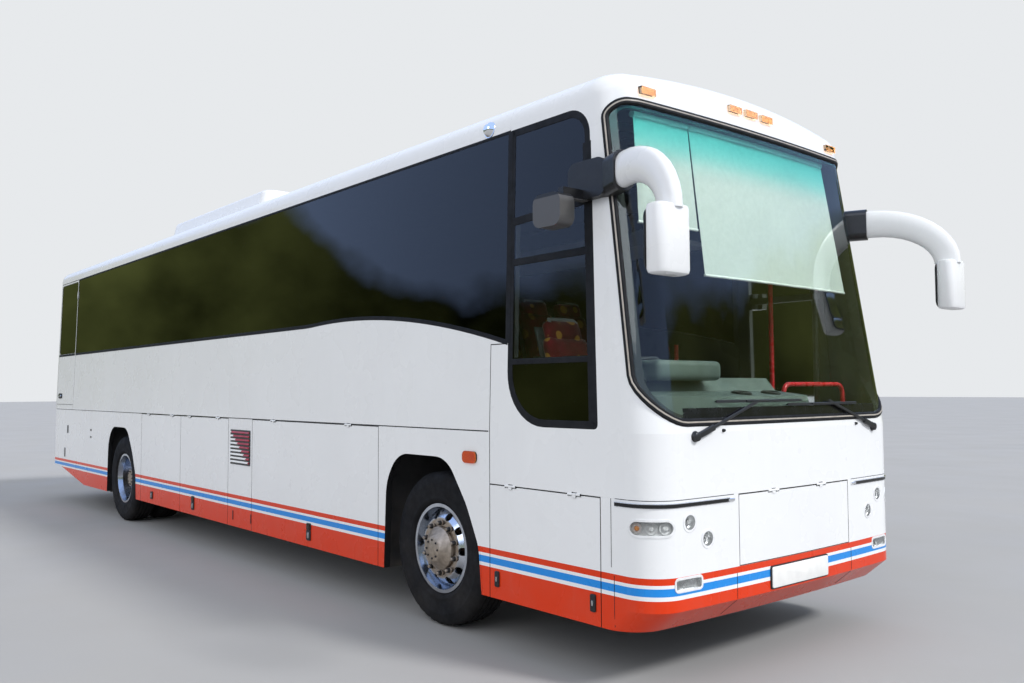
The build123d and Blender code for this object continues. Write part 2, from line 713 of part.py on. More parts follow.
# Cab floor, stepwell and dashboard
cab_start = front_axle_x + box_half + 5
step_x = (entrance_x[0] - 35, entrance_x[1] + 45)
with BuildPart() as cab_deck:
    block((cab_start, front_x - 120), (-half_width, 600), (cab_floor - 30, cab_floor))
    block(step_x, (600, 900), (640, 665))
    block(step_x, (875, 1190), (375, 400))
    block(step_x, (870, 895), (375, 665))
    block(step_x, (595, 620), (640, cab_floor))
    block((step_x[0] - 20, step_x[0] + 5), (595, 1190), (375, cab_floor))
    block((step_x[1] - 10, step_x[1] + 15), (595, 1140), (375, cab_floor + 500))
    block((cab_start, cab_seam_x + 110), (-300, 300), (cab_floor - 1, 1095))
    add(core_form, mode=Mode.INTERSECT)

dash_x = front_x - 50
kerb_dash_z = 1400
with BuildPart() as dashboard:
    side_prism([(dash_x - 560, 1500), (dash_x - 500, 1640), (dash_x - 330, 1650), (dash_x - 260, 1570),
                (dash_x - 40, 1540), (dash_x, 1460), (dash_x, cab_floor + seat), (dash_x - 310, cab_floor + seat)],
               (-1180, 250))
    side_prism([(dash_x - 310, kerb_dash_z - 100), (dash_x - 270, kerb_dash_z), (dash_x, kerb_dash_z),
                (dash_x, cab_floor + seat), (dash_x - 310, cab_floor + seat)], (249, 1180))
    add(core_form, mode=Mode.INTERSECT)

wheel_plane = Plane(origin=(front_x - 710, -720, 1660), x_dir=(0, 1, 0), z_dir=(-0.45, 0, 0.893))
with BuildPart() as steering_wheel:
    with BuildSketch(Plane(origin=wheel_plane.origin, x_dir=wheel_plane.x_dir, z_dir=wheel_plane.y_dir)) as grip:
        with Locations((225, 0)):
            Circle(15)
    revolve(grip.sketch, axis=Axis(wheel_plane.origin, wheel_plane.z_dir))
    rod(wheel_plane, (-40, 8), 45)
    rod(wheel_plane, (-420, -30), 32)
    for turn in (0, 120, 240):
        with BuildSketch(wheel_plane.offset(-12).rotated((0, 0, turn))) as spoke:
            with Locations((120, 0)):
                Rectangle(200, 34)
        extrude(spoke.sketch, amount=14)
    add(dashboard.part, mode=Mode.SUBTRACT)

# Seats
def seat_profile(x, base):
    """Side outline of one seat facing forward: pedestal, cushion and raked back."""
    return [(x, base), (x + 330, base), (x + 330, base + 300), (x + 420, base + 320), (x + 420, base + 450),
            (x + 60, base + 430), (x - 160, base + 1130), (x - 270, base + 1120), (x - 60, base + 330),
            (x, base + 300)]


seat_pitch = 780
seat_y = (290, 1120)
with BuildPart() as passenger_seats:
    for i in range(11):
        x = rear_x + 1460 + i * seat_pitch
        side_prism(seat_profile(x, floor_top + seat), (-seat_y[1], -seat_y[0]))
        side_prism(seat_profile(x, floor_top + seat), seat_y)
    side_prism(seat_profile(rear_x + 660, floor_top + seat), (-seat_y[1], seat_y[1]))
with BuildPart() as driver_seat:
    side_prism(seat_profile(front_x - 1090, cab_floor + seat), (-970, -470))

# Parcel racks above the side windows
with BuildPart() as parcel_racks:
    for side in (-1, 1):
        with BuildSketch(Plane.YZ.offset(frame_x[0])) as rack:
            with BuildLine():
                Polyline((side * 760, 2760), (side * 1250, 2720), (side * 1250, 2760), (side * 800, 2790),
                         (side * 780, 2880), (side * 755, 2880), close=True)
            make_face()
        extrude(rack.sketch, amount=cab_seam_x - 330 - frame_x[0])
    add(core_form, mode=Mode.INTERSECT)

rail_radius = 15
post_top = 3365
hand_rail = (front_x - 280, 290, 1010, 1610)
with BuildPart() as guard_rails:
    bar("z", (cab_seam_x + 30, -330), (cab_floor + seat, 1900), rail_radius)
    bar("z", (cab_seam_x + 30, 330), (cab_floor + seat, 1900), rail_radius)
    bar("z", (front_x - 540, 560), (cab_floor + seat, post_top), rail_radius)
    with BuildLine(Plane.YZ.offset(hand_rail[0])) as path:
        FilletPolyline((hand_rail[1], kerb_dash_z + seat), (hand_rail[1], hand_rail[3]),
                       (hand_rail[2], hand_rail[3]), (hand_rail[2], kerb_dash_z + seat), radius=70)
    with BuildSketch(Plane(origin=path.line @ 0, z_dir=path.line % 0)) as section:
        Circle(rail_radius)
    sweep(section.sketch, path=path.line)

# Outside fittings
pod_x = (rear_x + 3870, rear_x + 6600)
with BuildPart() as aircon_pod:
    with BuildSketch(Plane.XY.offset(roof_z - 70)) as base:
        with Locations(((pod_x[0] + pod_x[1]) / 2, 0)):
            RectangleRounded(pod_x[1] - pod_x[0], 1800, 180)
    extrude(base.sketch, amount=250, taper=14)
    fillet(aircon_pod.faces().sort_by(Axis.Z)[-1].edges(), 40)
    add(outer_form, mode=Mode.SUBTRACT)

# Roof escape hatches
hatch_places = [rear_x + 1900, front_x - 3300]
with BuildPart() as roof_hatches:
    for x in hatch_places:
        with BuildSketch(Plane.XY.offset(roof_z - 40)) as base:
            with Locations((x, 0)):
                RectangleRounded(760, 700, 60)
        extrude(base.sketch, amount=82)
    fillet(roof_hatches.faces().sort_by(Axis.Z)[-2:].edges(), 18)
    add(stand_form, mode=Mode.SUBTRACT)

with BuildPart() as engine_block:
    block((rear_x + 300, rear_x + 1560), (-300, 300), (600, rail_z[0] + 200))
    for x in (rear_x + 860, rear_x + 1260):
        block((x - 60, x + 60), (-rail_y[0] + seat, rail_y[0] - seat), (rail_z[0], rail_z[0] + 90))

# Axles
beam_half = 45
with BuildPart() as axles:
    with BuildSketch(Plane.YZ.offset(front_axle_x - beam_half)) as beam:
        with BuildLine():
            Polyline((0, axle_z - 130), (560, axle_z - 130), (740, axle_z - 50), (kingpin_y, axle_z - 50),
                     (kingpin_y, axle_z + 50), (700, axle_z + 50), (540, axle_z - 20), (0, axle_z - 20),
                     close=True)
        make_face()
        mirror(about=Plane.YZ)
    extrude(beam.sketch, amount=2 * beam_half)
    for side in (-1, 1):
        bar("z", (front_axle_x, side * kingpin_y), (axle_z - 60, axle_z + 60), 45)
        bar("z", (front_axle_x, side * kingpin_y), (axle_z - 60, axle_z + 60), kingpin_radius + running,
            Mode.SUBTRACT)
    bar("y", (rear_axle_x, axle_z), (-600, 600), 70)
    for side in (-1, 1):
        bar("y", (rear_axle_x, axle_z), tuple(sorted((side * 600, side * 1130))), 50)
    for side in (-1, 1):
        y = (side * 385, side * 455)
        block((rear_axle_x - 490, rear_axle_x + 490), (min(y), max(y)), (axle_z - 75, axle_z))
    with Locations((rear_axle_x, 0, axle_z)):
        Sphere(210)

with BuildPart() as air_springs:
    for side in (-1, 1):
        bar("z", (front_axle_x, side * 400), (axle_z - 20 + seat, rail_z[0] - seat), 110)
        for x in (-380, 380):
            bar("z", (rear_axle_x + x, side * 420), (axle_z + seat, rail_z[0] - seat), 110)

# Wheels
def revolved(x, y, side, points):
    """Solid of revolution about a wheel's axle; points are radius and distance outboard of y."""
    plane = Plane(origin=(x, y, axle_z), x_dir=(1, 0, 0), z_dir=(0, 0, 1))
    with BuildSketch(plane) as profile:
        with BuildLine():
            Polyline(*[(r, side * t) for r, t in points], close=True)
        make_face()
    revolve(profile.sketch, axis=Axis((x, y, axle_z), (0, 1, 0)))


tread = tyre_width / 2
tyre_points = [(bead_radius + seat, -102), (300, -102), (312, -126), (400, -tread), (470, -134), (506, -112),
               (tyre_radius, -88), (tyre_radius, 88), (506, 112), (470, 134), (400, tread), (312, 126),
               (300, 102), (bead_radius + seat, 102)]
rim_points = [(rim_radius, 115), (rim_radius, 102 + seat), (bead_radius, 102 + seat), (bead_radius, -102 - seat),
              (rim_radius, -102 - seat), (rim_radius, -115), (276, -115), (262, -60), (262, 60), (276, 115)]
spindle_radius = 38
rear_spindle = 50


def hand_holes(x, y, side, near, far):
    """Ring of ten holes through a wheel disc."""
    plane = Plane(origin=(x, y + side * near, axle_z), x_dir=(1, 0, 0), z_dir=(0, side, 0))
    with BuildSketch(plane) as ring:
        with PolarLocations(222, 10):
            Circle(27)
    extrude(ring.sketch, amount=far - near, mode=Mode.SUBTRACT)


wheels = {}
for word, side in (("left", 1), ("right", -1)):
    y = side * front_track
    with BuildPart() as tyre:
        revolved(front_axle_x, y, side, tyre_points)
    with BuildPart() as rim:
        revolved(front_axle_x, y, side, rim_points)
        revolved(front_axle_x, y, side, [(264, 20), (264, 40), (235, 82), (205, 108), (140, 108), (140, 94),
                                         (200, 94), (225, 74), (252, 34), (252, 20)])
        hand_holes(front_axle_x, y, side, 30, 130)
        revolved(front_axle_x, y, side, [(141, 94), (141, 130), (100, 150), (80, 178), (0, 178), (0, 140),
                                         (spindle_radius + running, 140), (spindle_radius + running, -100),
                                         (205, -100), (205, 60), (141, 60)])
    with BuildPart() as knuckle:
        bar("z", (front_axle_x, side * kingpin_y), (axle_z - 95, axle_z + 95), kingpin_radius)
        for low, high in ((axle_z - 95, axle_z - 61), (axle_z + 61, axle_z + 95)):
            bar("z", (front_axle_x, side * kingpin_y), (low, high), 40)
            block((front_axle_x - 40, front_axle_x + 40), tuple(sorted((side * kingpin_y, side * 920))), (low, high))
        block((front_axle_x - 60, front_axle_x + 60), tuple(sorted((side * 895, side * 925))),
              (axle_z - 95, axle_z + 95))
        bar("y", (front_axle_x, axle_z), tuple(sorted((side * 920, side * 1180))), spindle_radius)
    wheels["front_" + word + "_tyre"] = tyre.part
    wheels["front_" + word + "_rim"] = rim.part
    wheels["knuckle_" + word] = knuckle.part
    with BuildPart() as tyre:
        for centre in (rear_outer, rear_inner):
            revolved(rear_axle_x, side * centre, side, tyre_points)
    middle = (rear_outer + rear_inner) / 2
    with BuildPart() as rim:
        for centre in (rear_outer, rear_inner):
            revolved(rear_axle_x, side * centre, side, rim_points)
        for sign in (-1, 1):
            points = [(264, 130), (264, 110), (235, 40), (205, -2), (140, -2), (140, 12), (200, 12),
                      (225, 50), (252, 116), (252, 130)]
            revolved(rear_axle_x, side * middle, side * sign, points)
        hand_holes(rear_axle_x, side * middle, side, -80, 80)
        revolved(rear_axle_x, side * middle, side, [(141, -12), (141, 40), (110, 60), (100, 215), (0, 215),
                                                     (0, 208), (rear_spindle + running, 208),
                                                     (rear_spindle + running, -250), (205, -250), (205, -60),
                                                     (141, -60)])
    wheels["rear_" + word + "_tyres"] = tyre.part
    wheels["rear_" + word + "_rims"] = rim.part

# Mirrors on horn-shaped arms ahead of the windscreen pillars, with sleeves that wrap the pillars
mirror_root = (front_x - 388, 1195, 2745)
mirror_reach = (0.925, 0.38)
arm_run = 720
arm_drop = 330
arm_section = (96, 190, 42)
sleeve_section = (118, 216, 44)
wrap_length = {-1: 290, 1: 165}
head_at = (front_x + 275, 1490)
head_z = (2120, 2455)
with BuildPart() as mirror_arms:
    for side in (-1, 1):
        plane = Plane(origin=(mirror_root[0], side * mirror_root[1], mirror_root[2]),
                      x_dir=(mirror_reach[0], side * mirror_reach[1], 0),
                      z_dir=(mirror_reach[1], -side * mirror_reach[0], 0))
        up = 1 if plane.y_dir.Z > 0 else -1
        with BuildLine(plane) as path:
            FilletPolyline((120, 0), (arm_run, up * 15), (arm_run + 10, -up * arm_drop), radius=190)
        start = path.line % 0
        with BuildSketch(Plane(origin=path.line @ 0, x_dir=(start.Y, -start.X, 0), z_dir=start)) as section:
            RectangleRounded(arm_section[0], arm_section[1], arm_section[2])
        sweep(section.sketch, path=path.line)
        with BuildSketch(Plane.XY.offset(head_z[0])) as head:
            with Locations((head_at[0], side * head_at[1])):
                RectangleRounded(120, 235, 50)
        extrude(head.sketch, amount=head_z[1] - head_z[0])

wide_view = (front_x - 590, 1420, 2565)
with BuildPart() as mirror_brackets:
    for side in (-1, 1):
        plane = Plane(origin=(mirror_root[0], side * mirror_root[1], mirror_root[2]),
                      x_dir=(mirror_reach[1], -side * mirror_reach[0], 0),
                      z_dir=(mirror_reach[0], side * mirror_reach[1], 0))
        with BuildSketch(plane) as sleeve:
            RectangleRounded(sleeve_section[0], sleeve_section[1], sleeve_section[2])
        extrude(sleeve.sketch, amount=200)
        with BuildSketch(Plane.XZ.offset(-side * 1180)) as wrap:
            with Locations((mirror_root[0] + 50 - wrap_length[side] / 2, mirror_root[2])):
                RectangleRounded(wrap_length[side], sleeve_section[1], 60)
        extrude(wrap.sketch, amount=-side * 92)
    with BuildSketch(Plane.XZ.offset(wide_view[1] - 55)) as drum:
        with Locations((wide_view[0], wide_view[2])):
            RectangleRounded(220, 185, 55)
    extrude(drum.sketch, amount=110)
    block((wide_view[0] + 40, wide_view[0] + 80), (-wide_view[1], 20 - half_width), (2630, 2690))
    add(stand_form, mode=Mode.SUBTRACT)
    add(mirror_arms.part, mode=Mode.SUBTRACT)

wiper_layer = (envelope(-26), envelope(-8))
wiper_pivot = (930, 1330)
with BuildPart() as wipers:
    for side in (-1, 1):
        with BuildSketch(Plane.YZ.offset(front_x - 340)) as outline:
            with BuildLine():
                Polyline((side * wiper_pivot[0], wiper_pivot[1] - 20), (side * wiper_pivot[0], wiper_pivot[1] + 20),
                         (side * 380, 1515), (side * 380, 1497), close=True)
            make_face()
            with Locations((side * 330, 1500 - side * 12)):
                Rectangle(820, 20)
            with Locations((side * wiper_pivot[0], wiper_pivot[1])):
                Circle(32)
        extrude(outline.sketch, amount=500)
    add(wiper_layer[0], mode=Mode.INTERSECT)
    add(wiper_layer[1], mode=Mode.SUBTRACT)
    for side in (-1, 1):
        bar("x", (side * wiper_pivot[0], wiper_pivot[1]), (front_x - 100, front_x - 6), 20)
    add(outer_form, mode=Mode.SUBTRACT)

nodes = {
    "offside_wall": offside_wall.part,
    "nearside_wall": nearside_wall.part,
    "roof_panel": roof_panel.part,
    "front_cap": front_cap.part,
    "rear_cap": rear_cap.part,
    "offside_skirt": offside_skirt.part,
    "nearside_skirt": nearside_skirt.part,
    "front_lower": front_lower.part,
    "rear_lower": rear_lower.part,
    "front_lamps": front_lamps.part,
    "side_lamps": side_lamps.part,
    "rear_lamps": rear_lamps.part,
    "front_locker": front_locker.part,
    "front_flap": front_flap.part,
    "engine_door": engine_door.part,
    "emergency_door": emergency_door.part,
    "emergency_glass": emergency_glass.part,
    "entrance_door": entrance_door.part,
    "entrance_glass": entrance_glass.part,
    "door_arms": door_arms.part,
    "windscreen": windscreen.part,
    "offside_glazing": offside_glass.part,
    "nearside_glazing": nearside_glazing.part,
    "rear_window": rear_window.part,
    "floor_deck": floor_deck.part,
    "chassis_frame": chassis_frame.part,
    "luggage_bay": luggage_bay.part,
    "wheel_boxes": wheel_boxes.part,
    "cab_deck": cab_deck.part,
    "dashboard": dashboard.part,
    "steering_wheel": steering_wheel.part,
    "passenger_seats": passenger_seats.part,
    "driver_seat": driver_seat.part,
    "parcel_racks": parcel_racks.part,
    "guard_rails": guard_rails.part,
    "mirror_arms": mirror_arms.part,
    "mirror_brackets": mirror_brackets.part,
    "wipers": wipers.part,
    "aircon_pod": aircon_pod.part,
    "roof_hatches": roof_hatches.part,
    "engine_block": engine_block.part,
    "axles": axles.part,
    "air_springs": air_springs.part,
}
nodes.update(leaves)
nodes.update(wheels)
for name, solid in nodes.items():
    solid.label = name
    export_step(solid, "parts/" + name + ".step")
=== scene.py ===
import bmesh
import bpy
import json
from math import acos, cos, pi, radians, sin, sqrt, tan
from mathutils import Matrix, Vector
from mathutils.bvhtree import BVHTree

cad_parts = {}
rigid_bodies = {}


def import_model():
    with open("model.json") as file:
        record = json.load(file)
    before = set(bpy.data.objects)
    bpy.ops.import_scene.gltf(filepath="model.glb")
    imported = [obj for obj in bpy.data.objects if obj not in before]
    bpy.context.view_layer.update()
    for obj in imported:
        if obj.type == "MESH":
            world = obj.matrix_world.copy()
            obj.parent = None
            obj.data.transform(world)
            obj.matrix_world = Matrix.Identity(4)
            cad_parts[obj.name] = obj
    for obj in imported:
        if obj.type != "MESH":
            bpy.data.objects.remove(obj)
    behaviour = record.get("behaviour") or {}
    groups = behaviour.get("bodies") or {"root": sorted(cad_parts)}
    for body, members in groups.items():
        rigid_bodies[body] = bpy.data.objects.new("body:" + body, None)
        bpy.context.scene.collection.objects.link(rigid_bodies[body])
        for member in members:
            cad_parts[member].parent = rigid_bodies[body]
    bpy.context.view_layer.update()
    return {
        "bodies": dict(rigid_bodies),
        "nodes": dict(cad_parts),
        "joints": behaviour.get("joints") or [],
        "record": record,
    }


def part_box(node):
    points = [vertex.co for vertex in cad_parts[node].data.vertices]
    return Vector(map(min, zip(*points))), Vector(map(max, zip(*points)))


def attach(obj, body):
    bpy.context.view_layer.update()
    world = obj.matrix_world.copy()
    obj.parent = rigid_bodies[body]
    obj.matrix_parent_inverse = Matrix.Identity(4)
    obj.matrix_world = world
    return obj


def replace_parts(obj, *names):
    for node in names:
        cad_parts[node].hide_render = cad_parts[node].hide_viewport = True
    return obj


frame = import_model()
nodes = frame["nodes"]
scene = bpy.context.scene

# Camera at the photograph's place, in metres and radians
lens_px, image_w, sensor_mm = 898.09, 1024, 36
camera_at = Vector((8.84249, -4.76622, 1.58374))
yaw, pitch, roll = 2.43878009, 0.0535098582, -0.00443043
forward = Vector((cos(pitch) * cos(yaw), cos(pitch) * sin(yaw), sin(pitch)))
right = Vector((sin(yaw), -cos(yaw), 0))
up = right.cross(forward)
right, up = cos(roll) * right + sin(roll) * up, cos(roll) * up - sin(roll) * right
camera_data = bpy.data.cameras.new("camera")
camera_data.sensor_width = sensor_mm
camera_data.lens = lens_px * sensor_mm / image_w
camera_data.clip_end = 500
camera = bpy.data.objects.new("camera", camera_data)
camera.matrix_world = Matrix.Translation(camera_at) @ Matrix((right, up, -forward)).transposed().to_4x4()
scene.collection.objects.link(camera)
scene.camera = camera


# Material tools
def feed(socket, value):
    """Links an input to another socket, or sets its value."""
    if isinstance(value, bpy.types.NodeSocket):
        socket.id_data.links.new(value, socket)
    else:
        socket.default_value = (*value, 1) if socket.type == "RGBA" else value


def fill(node, **inputs):
    """Links or sets a node's inputs by name, with underscores for spaces."""
    for name, value in inputs.items():
        feed(node.inputs[name.replace("_", " ")], value)
    return node


def made(tree, kind, **inputs):
    return fill(tree.nodes.new("ShaderNode" + kind), **inputs)


def place(tree):
    """The object coordinate, made once for each tree."""
    for node in tree.nodes:
        if node.type == "TEX_COORD":
            return node.outputs["Object"]
    return made(tree, "TexCoord").outputs["Object"]


def axes(tree):
    """The X, Y and Z sockets of the object coordinate."""
    for node in tree.nodes:
        if node.type == "SEPXYZ":
            return node.outputs
    return made(tree, "SeparateXYZ", Vector=place(tree)).outputs


def noise(tree, scale, detail=3.0, vector=None, rough=0.5):
    """A noise texture's factor, in the object's own metres."""
    vector = place(tree) if vector is None else vector
    return made(tree, "TexNoise", Scale=scale, Detail=detail, Roughness=rough, Vector=vector).outputs["Fac"]


def ranged(tree, value, low, high, to_low, to_high):
    node = made(tree, "MapRange", Value=value, From_Min=low, From_Max=high, To_Min=to_low, To_Max=to_high)
    return node.outputs["Result"]


def maths(tree, operation, *values):
    node = made(tree, "Math")
    node.operation = operation
    for socket, value in zip(node.inputs, values):
        feed(socket, value)
    return node.outputs["Value"]


def product(tree, first, second):
    return maths(tree, "MULTIPLY", first, second)


def blended(tree, factor, first, second):
    """One colour over another, each a colour or a socket."""
    node = made(tree, "Mix")
    node.data_type = "RGBA"
    for index, value in ((0, factor), (6, first), (7, second)):
        feed(node.inputs[index], value)
    return node.outputs[2]


def switched(tree, factor, first, second):
    """One shader over another."""
    node = made(tree, "MixShader")
    for socket, value in zip(node.inputs, (factor, first, second)):
        feed(socket, value)
    return node.outputs[0]


def bumped(tree, shader, height, strength, distance):
    node = made(tree, "Bump", Strength=strength, Distance=distance, Height=height)
    fill(shader, Normal=node.outputs["Normal"])


def bare(name):
    material = bpy.data.materials.new(name)
    material.use_nodes = True
    tree = material.node_tree
    return material, tree, tree.nodes["Principled BSDF"]


def finish(name, colour, rough=0.5, spread=0.12, grain=8.0, bump=0.0, bump_scale=400.0, dust=0.0, below=None,
           **values):
    """A procedural finish: uneven colour and gloss, fine relief, and road dust that fades upward."""
    material, tree, shader = bare(name)
    dark = tuple(c * (1 - spread) for c in colour)
    light = tuple(min(1.0, c * (1 + spread * 0.5)) for c in colour)
    tone = blended(tree, ranged(tree, noise(tree, grain, 4.0), 0.35, 0.65, 0, 1), dark, light)
    if below:
        tone = blended(tree, maths(tree, "LESS_THAN", axes(tree)[2], below[0]), tone, below[1])
    if dust:
        low = ranged(tree, axes(tree)[2], 0.25, 1.1, dust, 0.0)
        specks = product(tree, low, ranged(tree, noise(tree, 5.0, 6.0), 0.35, 0.7, 0.15, 1.0))
        tone = blended(tree, specks, tone, dust_tone)
    gloss = ranged(tree, noise(tree, grain * 2.3, 5.0), 0.3, 0.7, max(0.02, rough * 0.85), min(1.0, rough * 1.2))
    fill(shader, Base_Color=tone, Roughness=gloss, **values)
    if bump:
        bumped(tree, shader, noise(tree, bump_scale, 3.0), bump, 0.002)
    return material


dust_tone, film_tone, streak_tone = (0.24, 0.20, 0.16), (0.30, 0.26, 0.21), (0.42, 0.40, 0.37)
white = (0.83, 0.84, 0.85)
orange = (0.70, 0.038, 0.002)
blue = (0.012, 0.25, 0.72)
# Livery bands by height: bottom of each band and its colour
livery = [(0.0, orange), (0.491, white), (0.512, blue), (0.553, white), (0.571, orange), (0.607, white)]
band_low, band_high = 0.25, 0.75
# Front and rear faces lie beyond this distance from the middle
end_faces_x = 5.42
# Windscreen opening: half width at its foot, narrowing upward, heights of foot and head, and corner radii
screen_half, screen_lean, screen_foot, screen_head = 1.238, 0.028, 1.400, 3.190
foot_round, head_round = 0.25, 0.10


def outer_faces(tree):
    """One on the outside of the body's panels, nought on their inner faces and edges."""
    x, y, _ = axes(tree)
    facing_x, facing_y, facing_z = made(tree, "SeparateXYZ", Vector=place(tree).node.outputs["Normal"]).outputs
    across = maths(tree, "GREATER_THAN", product(tree, facing_y, maths(tree, "SIGN", y)), 0.12)
    along = maths(tree, "GREATER_THAN", product(tree, facing_x, maths(tree, "SIGN", x)), 0.12)
    along = product(tree, along, maths(tree, "GREATER_THAN", maths(tree, "ABSOLUTE", x), end_faces_x))
    upward = maths(tree, "GREATER_THAN", facing_z, 0.3)
    return maths(tree, "MAXIMUM", maths(tree, "MAXIMUM", across, along), upward)


def length_of(tree, first, second):
    squares = maths(tree, "ADD", product(tree, first, first), product(tree, second, second))
    return maths(tree, "SQRT", squares)


def behind_screen(tree):
    """One on the front panels that lie behind the windscreen's glass, inside its rubber."""
    x, y, z = axes(tree)
    fall = product(tree, maths(tree, "SUBTRACT", z, screen_foot), screen_lean)
    beyond = maths(tree, "SUBTRACT", maths(tree, "ADD", maths(tree, "ABSOLUTE", y), fall), screen_half)
    inside = maths(tree, "GREATER_THAN", x, 5.2)
    for radius, past in ((foot_round, maths(tree, "SUBTRACT", screen_foot + foot_round, z)),
                         (head_round, maths(tree, "SUBTRACT", z, screen_head - head_round))):
        across = maths(tree, "MAXIMUM", maths(tree, "ADD", beyond, radius), 0)
        reach = length_of(tree, across, maths(tree, "MAXIMUM", past, 0))
        inside = product(tree, inside, maths(tree, "LESS_THAN", reach, radius - 0.004))
    return inside


def paint(name, striped=True, inside_shade=True):
    """White coachwork paint over the livery bands, with a clear coat, orange peel and a film of road dirt; inner
    faces, edges and the panels behind the windscreen get painted shade.
    """
    material, tree, shader = bare(name)
    height = axes(tree)[2]
    off_white = tuple(c * 0.965 for c in white)
    tone = blended(tree, ranged(tree, noise(tree, 1.3, 4.0), 0.3, 0.7, 0, 1), off_white, white)
    if striped:
        ramp = made(tree, "ValToRGB", Fac=ranged(tree, height, band_low, band_high, 0, 1))
        ramp.color_ramp.interpolation = "CONSTANT"
        stops = ramp.color_ramp.elements
        for level, _ in livery[1:-1]:
            stops.new((level - band_low) / (band_high - band_low))
        stripes_top = livery[-1][0]
        stops[-1].position = (stripes_top - band_low) / (band_high - band_low)
        for stop, (_, colour) in zip(stops, livery):
            stop.color = (*colour, 1)
        above = ranged(tree, height, stripes_top - 0.00001, stripes_top + 0.00001, 0, 1)
        tone = blended(tree, above, ramp.outputs["Color"], tone)
    # Road film, thicker low down
    patches = ranged(tree, noise(tree, 4.0, 7.0, rough=0.65), 0.4, 0.75, 0.0, 1.0)
    film = product(tree, ranged(tree, height, 0.3, 1.0, 0.07, 0.0), patches)
    tone = blended(tree, film, tone, film_tone)
    stretched = made(tree, "Mapping", Scale=(9, 9, 0.7), Vector=place(tree))
    streaks = ranged(tree, noise(tree, 2.0, 5.0, stretched.outputs["Vector"]), 0.56, 0.8, 0.0, 0.035)
    tone = blended(tree, streaks, tone, streak_tone)
    if inside_shade:
        # Painted shade: the panels' inner faces and edges, and the front panels seen through the windscreen, are
        # coloured near black and darker below 1.25 m; at the wheel arches this is also their own black edge.
        inner = blended(tree, ranged(tree, height, 1.25, 1.6, 0, 1), (0.018, 0.018, 0.019), (0.075, 0.08, 0.08))
        shown = product(tree, outer_faces(tree), maths(tree, "SUBTRACT", 1, behind_screen(tree)))
        tone = blended(tree, shown, inner, tone)
    fill(shader, Coat_Weight=0.16, Coat_Roughness=0.05, Specular_IOR_Level=0.22, Base_Color=tone,
         Roughness=ranged(tree, noise(tree, 3.0, 5.0), 0.3, 0.7, 0.24, 0.32))
    bumped(tree, shader, noise(tree, 55.0, 2.0), 0.006, 0.002)
    return material


def glass(name, tint, shade=None, high=None, window=None):
    """Sheet glass with a slight wave. It lets lamps through; a second tint can take over above a height
    or in a window of the offside."""
    material, tree, shader = bare(name)
    x, y, z = axes(tree)
    waver = ranged(tree, noise(tree, 1.5, 2.0), 0.3, 0.7, 0, 1)
    tone = blended(tree, waver, tuple(c * 0.94 for c in tint), tint)
    if shade:
        tone = blended(tree, ranged(tree, z, high[0], high[1], 0, 1), tone, shade)
    if window:
        from_x, (low_z, high_z), bare_tint = window
        inside = product(tree, maths(tree, "GREATER_THAN", x, from_x), maths(tree, "LESS_THAN", y, 0))
        inside = product(tree, inside, maths(tree, "GREATER_THAN", z, low_z))
        inside = product(tree, inside, maths(tree, "LESS_THAN", z, high_z))
        tone = blended(tree, inside, tone, bare_tint)
    fill(shader, Transmission_Weight=1.0, IOR=1.45, Coat_Weight=0.0, Base_Color=tone,
         Roughness=ranged(tree, noise(tree, 6.0, 3.0), 0.3, 0.7, 0.015, 0.0375))
    clear = made(tree, "BsdfTransparent", Color=tone)
    shadow = made(tree, "LightPath").outputs["Is Shadow Ray"]
    fill(tree.nodes["Material Output"], Surface=switched(tree, shadow, shader.outputs[0], clear.outputs[0]))
    return material


def moquette(name, ground, dot, weave, tile):
    """Coach seat cloth: round dots on a deep ground, with cut-pile weave and sheen."""
    material, tree, shader = bare(name)
    dots = made(tree, "TexVoronoi", Scale=1 / tile, Randomness=0.35, Vector=place(tree))
    disc = ranged(tree, dots.outputs["Distance"], 0.31, 0.34, 1, 0)
    patches = ranged(tree, noise(tree, 9.0, 3.0), 0.4, 0.6, 0, 1)
    tone = blended(tree, disc, blended(tree, patches, ground, tuple(c * 0.6 for c in ground)), dot)
    pile = noise(tree, 900.0, 2.0)
    tone = blended(tree, ranged(tree, pile, 0.35, 0.65, 0, weave), tone, (0.02, 0.01, 0.01))
    fill(shader, Sheen_Weight=0.5, Sheen_Roughness=0.4, Specular_IOR_Level=0.2, Base_Color=tone,
         Roughness=ranged(tree, noise(tree, 40.0, 3.0), 0.3, 0.7, 0.8, 0.95))
    bumped(tree, shader, pile, 0.35, 0.001)
    return material


def polished_rim():
    """Bright alloy, with a dusty brown centre about the wheel nuts."""
    material = finish("polished_rim", (0.56, 0.59, 0.64), 0.20, 0.16, 9, 0.06, 160, dust=0.12, Metallic=1.0)
    tree = material.node_tree
    shader = tree.nodes["Principled BSDF"]
    x, _, z = axes(tree)
    ahead = [maths(tree, "ABSOLUTE", maths(tree, "SUBTRACT", x, axle)) for axle in (front_axle_x, rear_axle_x)]
    radius = length_of(tree, maths(tree, "MINIMUM", *ahead), maths(tree, "SUBTRACT", z, wheel_z))
    bright = shader.inputs["Base Color"].links[0].from_socket
    patches = ranged(tree, noise(tree, 25, 4), 0.3, 0.6, 0.6, 1)
    centre = product(tree, ranged(tree, radius, 0.190, 0.205, 1, 0), patches)
    fill(shader, Base_Color=blended(tree, centre, bright, (0.40, 0.32, 0.24)))
    return material


